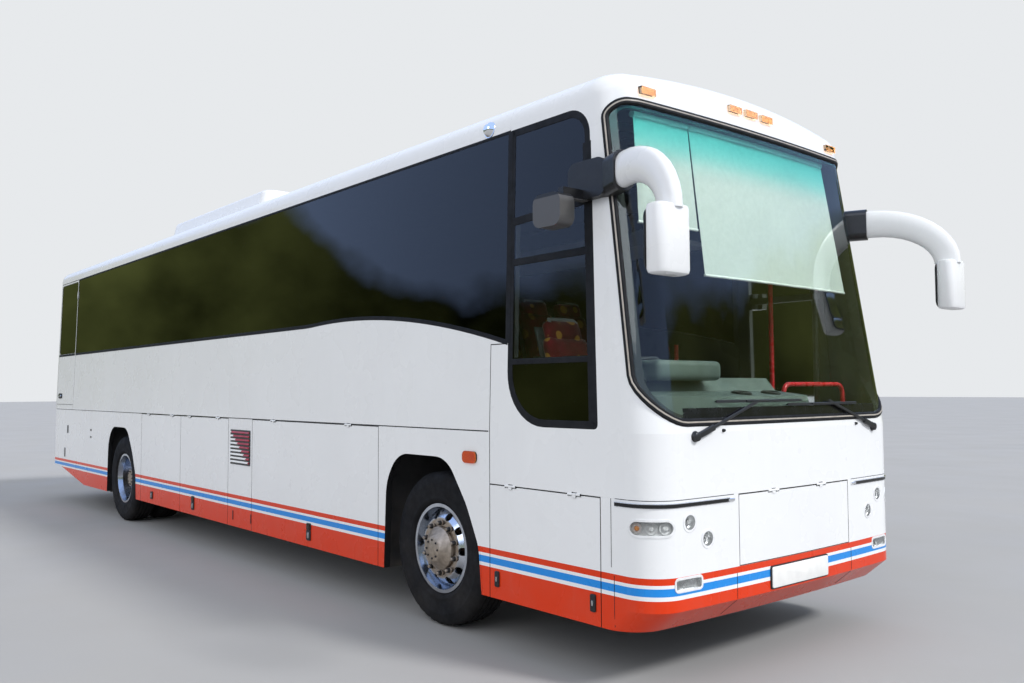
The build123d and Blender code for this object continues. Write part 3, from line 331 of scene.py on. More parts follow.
# Finishes: colour, roughness, unevenness, grain, relief and the relief's scale
front_axle_x, rear_axle_x, wheel_z = 3.83, -2.76, 0.515
coachwork = paint("coachwork_paint")
roof_paint = paint("roof_paint", striped=False)
fitting_paint = paint("fitting_paint", striped=False, inside_shade=False)
rubber = finish("black_rubber", (0.011, 0.011, 0.012), 0.6, 0.3, 12, 0.15, 300, dust=0.15, Specular_IOR_Level=0.2)
tyre_rubber = finish("tyre_rubber", (0.009, 0.009, 0.010), 0.8, 0.3, 9, 0.3, 260, dust=0.06, Specular_IOR_Level=0.2)
black = finish("black_plastic", (0.015, 0.015, 0.016), 0.42, 0.25, 14, 0.12, 500)
gloss_black = finish("frit_black", (0.006, 0.006, 0.007), 0.25, 0.2, 6)
grey_plastic = finish("dark_grey_plastic", (0.055, 0.057, 0.06), 0.45, 0.2, 12, 0.12, 450)
mid_grey = finish("trim_grey", (0.25, 0.26, 0.26), 0.6, 0.15, 10, 0.1, 350)
dash_green = finish("dashboard_vinyl", (0.085, 0.112, 0.102), 0.55, 0.15, 9, 0.25, 700)
chrome = finish("bright_chrome", (0.82, 0.83, 0.84), 0.08, 0.06, 20, Metallic=1.0)
steel = finish("brushed_steel", (0.60, 0.61, 0.62), 0.26, 0.14, 11, 0.08, 160, dust=0.22, Metallic=1.0)
rim_alloy = polished_rim()
lamp_silver = finish("lamp_silver", (0.82, 0.83, 0.84), 0.3, 0.08, 20, Metallic=0.85)
bracket_black = finish("mirror_bracket", (0.014, 0.014, 0.015), 0.36, 0.2, 14, below=(2.637, (0.085, 0.083, 0.083)))
nut_dark = finish("wheel_nuts", (0.045, 0.040, 0.036), 0.45, 0.3, 40, Metallic=0.5)
hub_dust = finish("dusty_hub", (0.40, 0.33, 0.26), 0.5, 0.25, 30, 0.15, 200, Metallic=0.6)
iron = finish("painted_chassis", (0.05, 0.05, 0.052), 0.6, 0.3, 6, 0.25, 80, dust=0.5)
engine_iron = finish("engine_castings", (0.16, 0.17, 0.17), 0.6, 0.3, 8, 0.3, 60, Metallic=0.4)
alloy = finish("alloy_sheet", (0.45, 0.46, 0.47), 0.42, 0.15, 7, 0.1, 120, Metallic=0.7)
lining = finish("interior_lining", (0.52, 0.53, 0.52), 0.85, 0.08, 5, 0.2, 900)
carpet = finish("floor_carpet", (0.05, 0.045, 0.06), 0.95, 0.5, 60, 0.5, 1400)
rail_red = finish("rail_red", (0.55, 0.02, 0.03), 0.28, 0.12, 10)
rail_grey = finish("rail_grey", (0.36, 0.37, 0.38), 0.35, 0.12, 10)
plate = finish("blank_plate", (0.86, 0.86, 0.84), 0.4, 0.05, 14)
step_yellow = finish("step_nosing", (0.75, 0.55, 0.03), 0.6, 0.15, 30, 0.3, 400)
louvre_red = finish("louvre_red", (0.42, 0.015, 0.015), 0.35, 0.2, 12, dust=0.2)
bulb_amber = finish("bulb_amber", (0.95, 0.32, 0.02), 0.3, 0.1, 20)
blind_film = finish("blind_film", (0.58, 0.61, 0.58), 0.9, 0.05, 30, 0.2, 1100)
seat_cloth = moquette("seat_moquette", (0.24, 0.010, 0.028), (0.62, 0.30, 0.055), 0.3, 0.135)
seat_shell = finish("seat_shell", (0.09, 0.09, 0.10), 0.5, 0.15, 12, 0.2, 500)
side_glass = glass("tinted_glass", (0.016, 0.020, 0.022), window=(4.69, (1.772, 2.61), (0.86, 0.90, 0.89)))
cab_glass = glass("cab_glass", (0.62, 0.70, 0.68))
screen_glass = glass("screen_glass", (0.80, 0.86, 0.83), shade=(0.38, 0.80, 0.77), high=(2.88, 3.06))
painted_rubber_highlight = finish("painted_rubber_highlight", (0.42, 0.38, 0.33), 0.35, 0.15, 20)
lamp_clear = finish("lamp_white", (0.80, 0.81, 0.82), 0.25, 0.1, 20)
lens_clear = glass("clear_lens", (0.93, 0.94, 0.94))
lens_amber = glass("amber_lens", (0.95, 0.33, 0.02), shade=(0.92, 0.66, 0.44), high=(3.1, 3.2))
lens_red = glass("red_lens", (0.75, 0.015, 0.012))
mirror_glass = finish("mirror_glass", (0.85, 0.87, 0.88), 0.02, 0.03, 6, Metallic=1.0)
floor_mat = finish("studio_floor", (0.37, 0.365, 0.36), 0.85, 0.03, 0.4)

# Finish of each part of the frame
finishes = {
    coachwork: ("offside_wall", "nearside_wall", "front_cap", "rear_cap", "offside_skirt", "nearside_skirt",
                "front_lower", "rear_lower", "front_locker", "front_flap", "engine_door", "emergency_door",
                "entrance_door", "offside_door_a", "offside_door_b", "offside_door_c", "nearside_door_a",
                "nearside_door_b", "nearside_door_c"),
    roof_paint: ("roof_panel",),
    fitting_paint: ("aircon_pod", "roof_hatches", "mirror_arms"),
    side_glass: ("offside_glazing", "nearside_glazing", "rear_window", "emergency_glass"),
    cab_glass: ("entrance_glass",),
    lens_amber: ("side_lamps",),
    screen_glass: ("windscreen",),
    carpet: ("floor_deck", "cab_deck"),
    iron: ("chassis_frame", "axles", "knuckle_left", "knuckle_right", "wheel_boxes"),
    alloy: ("luggage_bay",),
    rubber: ("air_springs",),
    dash_green: ("dashboard",),
    black: ("steering_wheel",),
    bracket_black: ("mirror_brackets",),
    grey_plastic: ("door_arms",),
    lining: ("parcel_racks",),
    rail_red: ("guard_rails",),
    engine_iron: ("engine_block",),
    rim_alloy: ("front_left_rim", "front_right_rim", "rear_left_rims", "rear_right_rims"),
    seat_cloth: ("passenger_seats", "driver_seat"),
    tyre_rubber: ("front_left_tyre", "front_right_tyre", "rear_left_tyres", "rear_right_tyres"),
    gloss_black: ("wipers",),
}
for material, names in finishes.items():
    for name in names:
        mesh = nodes[name].data
        mesh.materials.clear()
        mesh.materials.append(material)


# Shape tools
def stitched(count, size, closed=False):
    """Faces between rings of one size, and over both ends where the rings don't close."""
    faces = []
    for i in range(count if closed else count - 1):
        j = (i + 1) % count
        faces += [(i * size + k, i * size + (k + 1) % size, j * size + (k + 1) % size, j * size + k)
                  for k in range(size)]
    if not closed:
        faces += [tuple(range(size))[::-1], tuple((count - 1) * size + k for k in range(size))]
    return faces


def courses(path, closed):
    """The direction of a path at each of its points."""
    count = len(path)
    for i, point in enumerate(path):
        before = path[i - 1] if closed or i else point
        after = path[(i + 1) % count] if closed or i < count - 1 else point
        yield (after - before).normalized()


class Shape:
    """Gathers vertices and faces for one piece, then makes it and lets it ride on a body."""

    def __init__(self, name, *materials, body="coach"):
        self.name, self.materials, self.body = name, materials, body
        self.verts, self.faces, self.slots = [], [], []

    def add(self, verts, faces, slot=0):
        base = len(self.verts)
        self.verts += [Vector(v) for v in verts]
        self.faces += [tuple(base + i for i in face) for face in faces]
        self.slots += [slot] * len(faces)

    def take(self, form, slot, frame):
        """Adds a bmesh, moved into a frame, and frees it."""
        form.transform(frame)
        form.verts.index_update()
        self.add([v.co.copy() for v in form.verts], [[v.index for v in f.verts] for f in form.faces], slot)
        form.free()

    def box(self, low, high, slot=0, bevel=0.004, frame=Matrix(), segments=2):
        """A bevelled block between two corners of a frame."""
        low, high = Vector(low), Vector(high)
        form = bmesh.new()
        bmesh.ops.create_cube(form, size=1)
        for v in form.verts:
            v.co = Vector([(a + b) / 2 + c * (b - a) for a, b, c in zip(low, high, v.co)])
        bevel = min([bevel] + [abs(b - a) * 0.45 for a, b in zip(low, high)])
        bmesh.ops.bevel(form, geom=form.edges[:], offset=bevel, segments=segments, profile=0.5, affect="EDGES")
        self.take(form, slot, frame)

    def lathe(self, frame, profile, slot=0, steps=32, closed=False):
        """Turns (radius, height) points about the local Z of a frame."""
        rings, verts, faces = [], [], []
        for r, h in profile:
            count = 1 if r < 1e-6 else steps
            rings.append(list(range(len(verts), len(verts) + count)))
            turns = [2 * pi * i / steps for i in range(count)]
            verts += [frame @ Vector((r * cos(t), r * sin(t), h)) for t in turns]
        for a, b in list(zip(rings, rings[1:])) + ([(rings[-1], rings[0])] if closed else []):
            for i in range(steps):
                j = (i + 1) % steps
                if len(a) == 1 and len(b) > 1:
                    faces.append((a[0], b[i], b[j]))
                elif len(b) == 1 and len(a) > 1:
                    faces.append((a[j], a[i], b[0]))
                elif len(a) > 1:
                    faces.append((a[j], a[i], b[i], b[j]))
        self.add(verts, faces, slot)

    def sweep(self, path, normals, profile, slot=0, closed=False):
        """Carries (across, outward) points along a path whose normals point outward."""
        verts = []
        for point, normal, along in zip(path, normals, courses(path, closed)):
            across = along.cross(normal).normalized()
            verts += [point + across * a + normal * b for a, b in profile]
        self.add(verts, stitched(len(path), len(profile), closed), slot)

    def tube(self, points, radius, slot=0, sides=10, closed=False):
        """A round tube through points."""
        points = [Vector(p) for p in points]
        verts, side_way = [], None
        for point, along in zip(points, courses(points, closed)):
            side_way = side_way or along.orthogonal().normalized()
            side_way = (side_way - along * side_way.dot(along)).normalized()
            other = along.cross(side_way)
            turns = [2 * pi * k / sides for k in range(sides)]
            verts += [point + (side_way * cos(t) + other * sin(t)) * radius for t in turns]
        self.add(verts, stitched(len(points), sides, closed), slot)

    def slab(self, outline, depth, slot=0, bevel=0.0, frame=Matrix()):
        """A flat outline in a frame's XY, thickened along its Z between two depths."""
        form = bmesh.new()
        face = form.faces.new([form.verts.new((a, b, depth[0])) for a, b in outline])
        for v in bmesh.ops.extrude_face_region(form, geom=[face])["geom"]:
            if isinstance(v, bmesh.types.BMVert):
                v.co.z = depth[1]
        if bevel:
            rim = [e for e in form.edges if all(abs(v.co.z - depth[1]) < 1e-6 for v in e.verts)]
            bmesh.ops.bevel(form, geom=rim, offset=bevel, segments=2, profile=0.5, affect="EDGES")
        bmesh.ops.recalc_face_normals(form, faces=form.faces[:])
        self.take(form, slot, frame)

    def done(self, smooth=38, slot=None):
        mesh = bpy.data.meshes.new(self.name)
        mesh.from_pydata(self.verts, [], self.faces)
        for material in self.materials:
            mesh.materials.append(material)
        mesh.polygons.foreach_set("material_index", self.slots)
        mesh.update()
        form = bmesh.new()
        form.from_mesh(mesh)
        bmesh.ops.recalc_face_normals(form, faces=form.faces[:])
        form.to_mesh(mesh)
        form.free()
        mesh.shade_smooth()
        mesh.set_sharp_from_angle(angle=radians(smooth))
        piece = bpy.data.objects.new(self.name, mesh)
        scene.collection.objects.link(piece)
        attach(piece, self.body)
        return piece


def rounded(points, radii, steps=8):
    """A closed outline with each corner turned into an arc."""
    outline, count = [], len(points)
    for i, (point, radius) in enumerate(zip(points, radii)):
        here = Vector(point)
        to_last = (Vector(points[i - 1]) - here).normalized()
        to_next = (Vector(points[(i + 1) % count]) - here).normalized()
        half = acos(max(-1, min(1, to_last.dot(to_next)))) / 2
        if radius < 1e-5:
            outline.append(here)
            continue
        start, end = here + to_last * (radius / tan(half)), here + to_next * (radius / tan(half))
        centre = here + (to_last + to_next).normalized() * (radius / sin(half))
        a, b = start - centre, end - centre
        sweep = acos(max(-1, min(1, a.normalized().dot(b.normalized()))))
        for k in range(steps + 1):
            t = k / steps
            outline.append(centre + (a * sin((1 - t) * sweep) + b * sin(t * sweep)) / sin(sweep))
    return outline


def dense(points, step, closed=True):
    """The same line with no gap between points longer than a step."""
    result = []
    ends = list(zip(points, points[1:] + points[:1])) if closed else list(zip(points, points[1:]))
    for a, b in ends:
        parts = max(1, int((b - a).length / step))
        result += [a.lerp(b, k / parts) for k in range(parts)]
    return result if closed else result + [points[-1]]


def skin(names):
    """A ray-casting tree over the outside of some frame parts."""
    verts, faces = [], []
    for name in names:
        mesh = nodes[name].data
        base = len(verts)
        verts += [v.co.copy() for v in mesh.vertices]
        faces += [tuple(base + i for i in p.vertices) for p in mesh.polygons]
    return BVHTree.FromPolygons(verts, faces)


body_skin = skin([*finishes[coachwork], "roof_panel", "windscreen", "offside_glazing", "nearside_glazing",
                  "rear_window", "emergency_glass", "entrance_glass"])


def cast_on(tree, origin, direction):
    """Where a ray meets a surface, and the outward normal there.

    A ray that slips through a joint between panels is moved a little."""
    origin, direction = Vector(origin), Vector(direction)
    for step in (0, 0.008, -0.008, 0.016, -0.016):
        aside = Vector((step, step, step))
        aside -= direction * aside.dot(direction)
        hit, normal, _, _ = tree.ray_cast(origin + aside, direction)
        if hit is not None:
            return hit - aside, (-normal if normal.dot(direction) > 0 else normal)
    raise ValueError(f"no surface from {tuple(origin)} along {tuple(direction)}")


# Rays start outside the body, this far along each axis
far_x, far_y, far_z = 8, 3, 6


def front(y, z):
    return cast_on(body_skin, (far_x, y, z), (-1, 0, 0))


def rear(y, z):
    return cast_on(body_skin, (-far_x, y, z), (1, 0, 0))


def flank(side, x, z):
    return cast_on(body_skin, (x, side * far_y, z), (0, -side, 0))


def roof(x, y):
    return cast_on(body_skin, (x, y, far_z), (0, 0, -1))


def facing(hit, normal, upright=(0, 0, 1)):
    """A frame on a surface: Z outward, Y as near upright as it goes."""
    z = Vector(normal).normalized()
    x = Vector(upright).cross(z).normalized()
    y = z.cross(x)
    return Matrix.Translation(Vector(hit)) @ Matrix((x, y, z)).transposed().to_4x4()


def pill(width, height, radius, steps=6):
    w, h = width / 2, height / 2
    return rounded([(-w, -h), (w, -h), (w, h), (-w, h)], [radius] * 4, steps)


# Surface lines
def crest(probe, point, axis, sign, reach):
    """Surface place and normal at a flat point, bridging the narrow joints between panels."""
    places, turned = [], Vector()
    for step in ((reach, 0), (0, reach)):
        pair = [probe(point[0] + s * step[0], point[1] + s * step[1]) for s in (-1, 1)]
        places.append((pair[0][0] + pair[1][0]) / 2)
        for _, normal in pair:
            if normal[axis] * sign > 0.3:
                turned += normal
    return max(places, key=lambda place: sign * place[axis]), turned.normalized()


def laid(face, points, step=9, closed=False, reach=0.009):
    """Places and smoothed normals along a line on one face of the body, with no gap longer than a step."""
    probe, axis, sign = face
    line = dense([Vector(p) for p in points], step, closed)
    found = [crest(probe, point, axis, sign, reach) for point in line]
    count = len(found)
    normals = []
    for i in range(count):
        near = [(i + k) % count if closed else min(count - 1, max(0, i + k)) for k in (-2, -1, 0, 1, 2)]
        normals.append(sum((found[k][1] for k in near), Vector()).normalized())
    return [place for place, _ in found], normals


def strip(width, low, high):
    """Section of a flat strip with softened upper edges, as (across, outward)."""
    w = width / 2
    e = min(w, high - low) * 0.35
    return [(-w, low), (-w, high - e), (-w + e, high), (w - e, high), (w, high - e), (w, low)]


def inset(points, depth):
    """A closed outline moved inward."""
    area = sum(a.x * b.y - b.x * a.y for a, b in zip(points, points[1:] + points[:1]))
    turn = 1 if area > 0 else -1
    result = []
    for i, point in enumerate(points):
        a = (point - points[i - 1]).normalized()
        b = (points[(i + 1) % len(points)] - point).normalized()
        na, nb = Vector((-a.y, a.x)) * turn, Vector((-b.y, b.x)) * turn
        middle = (na + nb).normalized()
        result.append(point + middle * depth / max(0.5, middle.dot(na)))
    return result


def trim(shape, face, points, section, step=9, slot=0, closed=False, reach=0.009):
    """Lays a strip along a line on the body. The section gives the strip's width, foot and top."""
    path, normals = laid(face, points, step, closed, reach)
    shape.sweep(path, normals, strip(*section), slot, closed)


def flank_face(side):
    return (lambda x, z: flank(side, x, z)), 1, side


# A face of the body: how it is probed, the axis it looks along and its sign
front_face, rear_face = (front, 0, 1), (rear, 0, -1)

# Windscreen: rubber with a pale strip along its crest as a painted highlight, printed edge, blinds and wipers
screen_top_half = screen_half - screen_lean * (screen_head - screen_foot)
screen_line = rounded([(-screen_half, screen_foot), (screen_half, screen_foot), (screen_top_half, screen_head),
                       (-screen_top_half, screen_head)], [foot_round, foot_round, head_round, head_round], 10)
# The front corners: round in plan, raked back and leaning in above a height
arc_x, arc_y, arc_r = 5.5984, 1.04, 0.21
rake_from, rake, lean = 1.35, 0.149, 0.026


def round_corner(place, normal):
    """The true round front corner at a place that was found on its facets."""
    above = max(0, place.z - rake_from)
    centre_x, centre_y = arc_x - rake * above, arc_y - lean * above
    beyond = abs(place.y) - centre_y
    if not 0 < beyond < arc_r:
        return place, normal
    ahead = sqrt(arc_r ** 2 - beyond ** 2)
    outward = Vector((ahead, beyond * (1 if place.y > 0 else -1), rake * ahead if above else 0))
    return Vector((centre_x + ahead, place.y, place.z)), outward.normalized()


surround = Shape("windscreen_rubber", rubber, painted_rubber_highlight)
path, normals = laid(front_face, inset(screen_line, 0.004), 0.05, True)
path, normals = zip(*[round_corner(place, normal) for place, normal in zip(path, normals)])
surround.sweep(path, normals, strip(0.044, -0.012, 0.011), 0, closed=True)
# The pale strip on the rubber's crest is a painted highlight, not a part of its own.
surround.sweep(path, normals, strip(0.009, 0.009, 0.0135), 1, closed=True)
surround.done()
printed = Shape("windscreen_print", gloss_black)
trim(printed, front_face, [(y / 20, 1.447) for y in range(-20, 21)], (0.068, -0.0005, 0.0006))
printed.done()

# Blinds hang from a roller behind the glass: name, edges across, and the height of the hem
blind_top, roller_z, narrowing, film_depths = 3.12, 3.135, 0.05, (0.052, 0.054)
across, down = 12, 10
blinds = [("kerb", -0.60, 0.95, 2.235), ("driver", -1.08, -0.61, 2.50)]
for name, low_y, high_y, low_z in blinds:
    film = Shape("sun_blind_" + name, blind_film)
    verts, faces = [], []
    for skin_depth in film_depths:
        for j in range(down + 1):
            z = blind_top + (low_z - blind_top) * j / down
            for i in range(across + 1):
                y = low_y + (high_y - low_y) * i / across
                verts.append(front(y * (1 - narrowing * (down - j) / down), z)[0] - Vector((skin_depth, 0, 0)))
    layer = (across + 1) * (down + 1)
    for j in range(down):
        for i in range(across):
            a = j * (across + 1) + i
            quad = (a, a + 1, a + across + 2, a + across + 1)
            faces += [quad, tuple(layer + k for k in reversed(quad))]
    rim = (list(range(across + 1)) + [j * (across + 1) + across for j in range(1, down + 1)]
           + [down * (across + 1) + i for i in range(across - 1, -1, -1)]
           + [j * (across + 1) for j in range(down - 1, 0, -1)])
    for a, b in zip(rim, rim[1:] + rim[:1]):
        faces.append((a, b, layer + b, layer + a))
    film.add(verts, faces)
    film.done()
    bars = Shape("sun_blind_bars_" + name, plate)
    for z, radius in ((roller_z, 0.022), (low_z, 0.008)):
        ends = [front(y * (1 - narrowing if z == roller_z else 1), z)[0] - Vector((0.053 + radius * 0.3, 0, 0))
                for y in [low_y + (high_y - low_y) * i / 8 for i in range(9)]]
        bars.tube(ends, radius, sides=12)
    bars.done()

wiper = Shape("wiper_arms", black, rubber)
pivot_y, pivot_z = 0.93, 1.33
pivot_cap = [(0, 0.026), (0.018, 0.026), (0.024, 0.022), (0.026, 0.008), (0.03, 0.004), (0.03, -0.004)]
for side in (-1, 1):
    wiper.lathe(facing(*front(side * pivot_y, pivot_z)), pivot_cap, steps=24)
    arm = [(side * (pivot_y - 0.55 * t), pivot_z + 0.176 * t) for t in (0, 0.12, 0.25, 0.4, 0.55, 0.7, 0.85, 1)]
    path, normals = laid(front_face, arm)
    wiper.sweep(path[:3], normals[:3], strip(0.034, 0.010, 0.026))
    wiper.sweep(path[2:], normals[2:], strip(0.017, 0.012, 0.024))
    blade = [(side * (-0.075 + 0.81 * i / 16), 1.50 - side * 0.012) for i in range(17)]
    path, normals = laid(front_face, blade)
    wiper.sweep(path, normals, strip(0.007, 0.0015, 0.013), 1)
    wiper.sweep(path, normals, strip(0.016, 0.012, 0.017))
    wiper.sweep(path[5:12], normals[5:12], strip(0.012, 0.016, 0.025))
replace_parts(wiper.done(), "wipers")

jet = Shape("screen_washer_jets", black)
for y in (-0.70, 0.70):
    jet.lathe(facing(*front(y, 1.355)), [(0, 0.016), (0.006, 0.015), (0.009, 0.008), (0.010, -0.002)], steps=16)
jet.done()

# Front lamps
lamp_skin = skin(["front_lamps"])
rear_lamp_skin = skin(["rear_lamps"])
pill_turn, lamp_depth, lamp_front_x, lamp_rear_x = radians(49), 0.0445, 5.84, -6.16


def layer_points(tree, frame, outline, scale, depth):
    """The outline, scaled and laid on a curved surface, then sunk by a depth."""
    inward = -frame.col[2].to_3d()
    back = frame.inverted()
    points = []
    for a, b in outline:
        hit = None
        for share in (0.99, 0.97, 0.93):
            if hit is None:
                hit, _, _, _ = tree.ray_cast(frame @ Vector((a * scale * share, b * scale * share, 0.3)), inward)
        rise = (back @ hit).z if hit else 0
        points.append(frame @ Vector((a * scale, b * scale, rise)) + inward * depth)
    return points


def dish(shape, seat, layers, slot=0):
    """A skin through scaled copies of a lamp's outline, each sunk by a depth. Scale nought closes it in a point."""
    tree, frame, outline = seat
    rings, verts, faces = [], [], []
    for scale, depth in layers:
        ring = layer_points(tree, frame, outline[:1] if scale < 1e-4 else outline, scale, depth)
        rings.append(range(len(verts), len(verts) + len(ring)))
        verts += ring
    for a, b in zip(rings, rings[1:]):
        for i in range(len(a)):
            j = (i + 1) % len(a)
            faces.append((a[i], a[j], b[0]) if len(b) == 1 else (a[i], a[j], b[j], b[i]))
    shape.add(verts, faces, slot)


# Name, place across and up, width, height and corner radius; then the reflector's layers and slot
front_table = [("pill", 0.0, 0.861, 0.2354, 0.0834, 0.0416), ("upper", 0.98, 0.882, 0.0914, 0.0914, 0.0456),
               ("lower", 0.84, 0.785, 0.0914, 0.0914, 0.0456), ("fog", 0.99, 0.566, 0.1994, 0.0654, 0.0197)]
bowl = ([(0.955, 0.012), (0.86, 0.024), (0.66, 0.034), (0.4, 0.040), (0, 0.042)], 0)
reflectors = {"pill": ([(0.955, 0.012), (0.88, 0.020), (0.8, 0.026), (0, 0.028)], 3), "upper": bowl, "lower": bowl,
              "fog": ([(0.955, 0.012), (0.9, 0.026), (0.72, 0.038), (0, 0.040)], 0)}
housing = Shape("front_lamp_bodies", lamp_silver, mid_grey, bulb_amber, lamp_clear)
lenses = Shape("front_lamp_lenses", lens_clear)
bezels = Shape("front_lamp_bezels", lamp_clear)
for name, y, z, width, height, corner in front_table:
    for side in (-1, 1):
        if name == "pill":
            ahead = Vector((cos(pill_turn), side * sin(pill_turn), 0))
            face = facing(Vector((arc_x, side * arc_y, z)) + ahead * arc_r, ahead)
        else:
            face = facing(Vector((lamp_front_x, side * y, z)), Vector((1, 0, 0)))
        outline = dense(pill(width, height, corner, 8), 0.012)
        seat = (lamp_skin, face, outline)
        outward = face.col[2].to_3d()
        dish(lenses, seat, [(0.955, 0.010), (0.955, 0.002), (0.7, 0.0012), (0.35, 0.001), (0, 0.001)])
        dish(lenses, seat, [(0.955, 0.010), (0.93, 0.0045), (0.7, 0.0036), (0.35, 0.0034), (0, 0.0034)])
        dish(housing, seat, [(1.0, lamp_depth), (1.0, 0.0008), (0.955, 0.0006), (0.955, 0.012)], 1)
        dish(housing, seat, [(1.0, lamp_depth), (0.5, 0.0448), (0, 0.0448)], 1)
        dish(housing, seat, *reflectors[name])
        if name in ("upper", "lower"):
            bulb = facing(layer_points(lamp_skin, face, [(0, 0)], 1, 0.041)[0], outward)
            housing.lathe(bulb, [(0, 0.024), (0.008, 0.022), (0.011, 0.014), (0.011, 0)], 3, steps=16)
        elif name == "fog":
            for k in range(-8, 9):
                rib = [(k * 0.0105, b) for b in (-0.027, -0.012, 0, 0.012, 0.027)]
                lenses.tube(layer_points(lamp_skin, face, rib, 1, 0.0052), 0.0021, sides=6)
        else:
            for a, radius, tone in ((-0.066, 0.030, 3), (0.002, 0.030, 3), (0.070, 0.026, 2)):
                spot = layer_points(lamp_skin, face, [(a * side, 0)], 1, 0.028)[0]
                turned = Vector((outward * arc_r + face.col[0].to_3d() * a * side)).normalized()
                cup = facing(spot, turned)
                housing.lathe(cup, [(radius + 0.003, 0.001), (radius + 0.003, 0.006), (radius, 0.008),
                                    (radius * 0.8, 0.003), (radius * 0.5, 0.002)], 3, steps=24)
                housing.lathe(cup, [(radius * 0.5, 0.001), (radius * 0.5, 0.010), (radius * 0.3, 0.017), (0, 0.018)],
                              tone, steps=20)
        rim = layer_points(lamp_skin, face, outline, 1.0, 0.0)
        outs = [Vector((p.x - arc_x, p.y - side * arc_y, 0)).normalized() if name == "pill" else outward for p in rim]
        bezels.sweep(rim, outs, strip(0.014, -0.001, 0.0025), closed=True)
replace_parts(housing.done(), "front_lamps")
lenses.done()
bezels.done()


def girdle(y_inner, z, side, last=84):
    """Line round the front corner at one height: across the front, then about the corner."""
    found = [front(side * (y_inner + (arc_y - y_inner) * i / 8), z) for i in range(9)]
    for turn in range(8, last + 1, 6):
        out = Vector((cos(radians(turn)), side * sin(radians(turn)), 0))
        found.append((cast_on(body_skin, Vector((arc_x, side * arc_y, z)) + out * 0.6, -out)[0], out))
    if last > 80:
        found += [flank(side, x, z) for x in (5.59, 5.56, 5.53)]
    return zip(*found)


# Bright strip under the front seam
brightwork = Shape("front_bright_strips", chrome, gloss_black)
for side in (-1, 1):
    brightwork.sweep(*girdle(0.66, 0.9765, side), strip(0.021, -0.001, 0.007), 1)
    path, normals = girdle(0.62, 0.9765, side, 8)
    brightwork.sweep(path[:2], normals[:2], strip(0.017, -0.001, 0.009), 0)
    brightwork.sweep(*girdle(0.66, 0.9875, side), strip(0.004, 0.004, 0.009), 0)
brightwork.done()

# Shut lines in the front corner panels and the bumper
joints = Shape("front_shut_lines", gloss_black)
shut_line = strip(0.0035, -0.001, 0.0014)
for side in (-1, 1):
    joints.sweep(*girdle(0.62, 1.004, side), shut_line)
    for heights in ((0.330, 0.38, 0.425), (0.435, 0.50, 0.574)):
        joints.sweep(*zip(*[front(side * 0.60, z) for z in heights]), shut_line)
    for x, low_z, high_z in ((5.50, 0.64, 1.003), (5.52, 0.33, 0.60)):
        joints.sweep(*zip(*[flank(side, x, low_z + (high_z - low_z) * k / 4) for k in range(5)]), shut_line)
joints.done()

blank = Shape("front_plate", plate, black)
spot, _ = front(0, 0.507)
blank.slab(pill(0.585, 0.118, 0.012), (-0.004, 0.012), 0, 0.003, facing(spot, (1, 0, 0)))
blank.slab(pill(0.60, 0.132, 0.014), (-0.008, 0.006), 1, 0.002, facing(spot, (1, 0, 0)))
blank.done()

# Side glass: seals, driver's window frame and its bars
seals = Shape("side_glass_seals", rubber)
foot_places = ((2.07, 2.115), (3.479, 2.085), (4.63, 1.872))
glass_top = 3.187


def window_foot(x):
    """Height of the side glass's lower edge: level, then falling in a curve through three places."""
    (ax, az), (bx, bz), (cx, cz) = foot_places
    if x < ax:
        return az
    return (az * (x - bx) * (x - cx) / ((ax - bx) * (ax - cx)) + bz * (x - ax) * (x - cx) / ((bx - ax) * (bx - cx))
            + cz * (x - ax) * (x - bx) / ((cx - ax) * (cx - bx)))


waist_line = Shape("waist_line", gloss_black)
waist_z, waist_rear = 1.3255, -5.88
for side, rear_end, front_end, waist_front in ((-1, -4.99, 4.635, 4.46), (1, -5.87, 4.585, 4.58)):
    face = flank_face(side)
    foot = [rear_end + (front_end - rear_end) * i / 80 for i in range(81)]
    trim(seals, face, [(x, window_foot(x)) for x in foot], (0.030, -0.004, 0.003))
    trim(waist_line, face, [(waist_rear, waist_z), (waist_front, waist_z)], (0.008, -0.0005, 0.0003), 0.4)
    trim(seals, face, [(rear_end, glass_top), (front_end, glass_top)], (0.020, -0.004, 0.002), 0.3)
seals.done()
waist_line.done()

cab_line = rounded([(4.638, 3.19), (4.638, 1.365), (5.408, 1.365), (5.317, 3.19)], [0.01, 0.33, 0.03, 0.17], 10)
cab_frame = Shape("driver_window_frame", rubber, gloss_black)
offside, nearside = flank_face(-1), flank_face(1)
trim(cab_frame, offside, inset(cab_line, 0.020), (0.046, -0.004, 0.0035), 0.05, closed=True)
for ends, width in ((((4.66, 2.610), (5.31, 2.650)), 0.050), (((4.66, 2.360), (5.325, 2.360)), 0.045),
                    (((4.66, 1.752), (5.355, 1.752)), 0.035)):
    trim(cab_frame, offside, ends, (width, -0.003, 0.004), 0.08)
trim(cab_frame, offside, ((5.372, 1.40), (5.302, 2.98)), (0.070, -0.003, 0.003), 0.1)
trim(cab_frame, offside, ((4.636, 1.87), (4.636, 3.185)), (0.046, -0.004, 0.0025), 0.1, reach=0.02)
lower_pane = rounded([(4.655, 1.735), (4.655, 1.40), (5.36, 1.40), (5.36, 1.735)], [0.01, 0.29, 0.02, 0.01], 8)
upright = Matrix(((1, 0, 0), (0, 0, 1), (0, 1, 0))).to_4x4()
cab_frame.slab(lower_pane, (0.0, 0.006), 1, 0, Matrix.Translation((0, -1.2315, 0)) @ upright)
cab_frame.done()


# Doors and lids: latches, small catches and the louvre
def stuck(shape, side, x, z, width, height, depth, slot=0, corner=0.006, bevel=0.002, low=-0.002):
    """A small plate on the flank."""
    shape.slab(pill(width, height, corner, 4), (low, depth), slot, bevel, facing(*flank(side, x, z)))


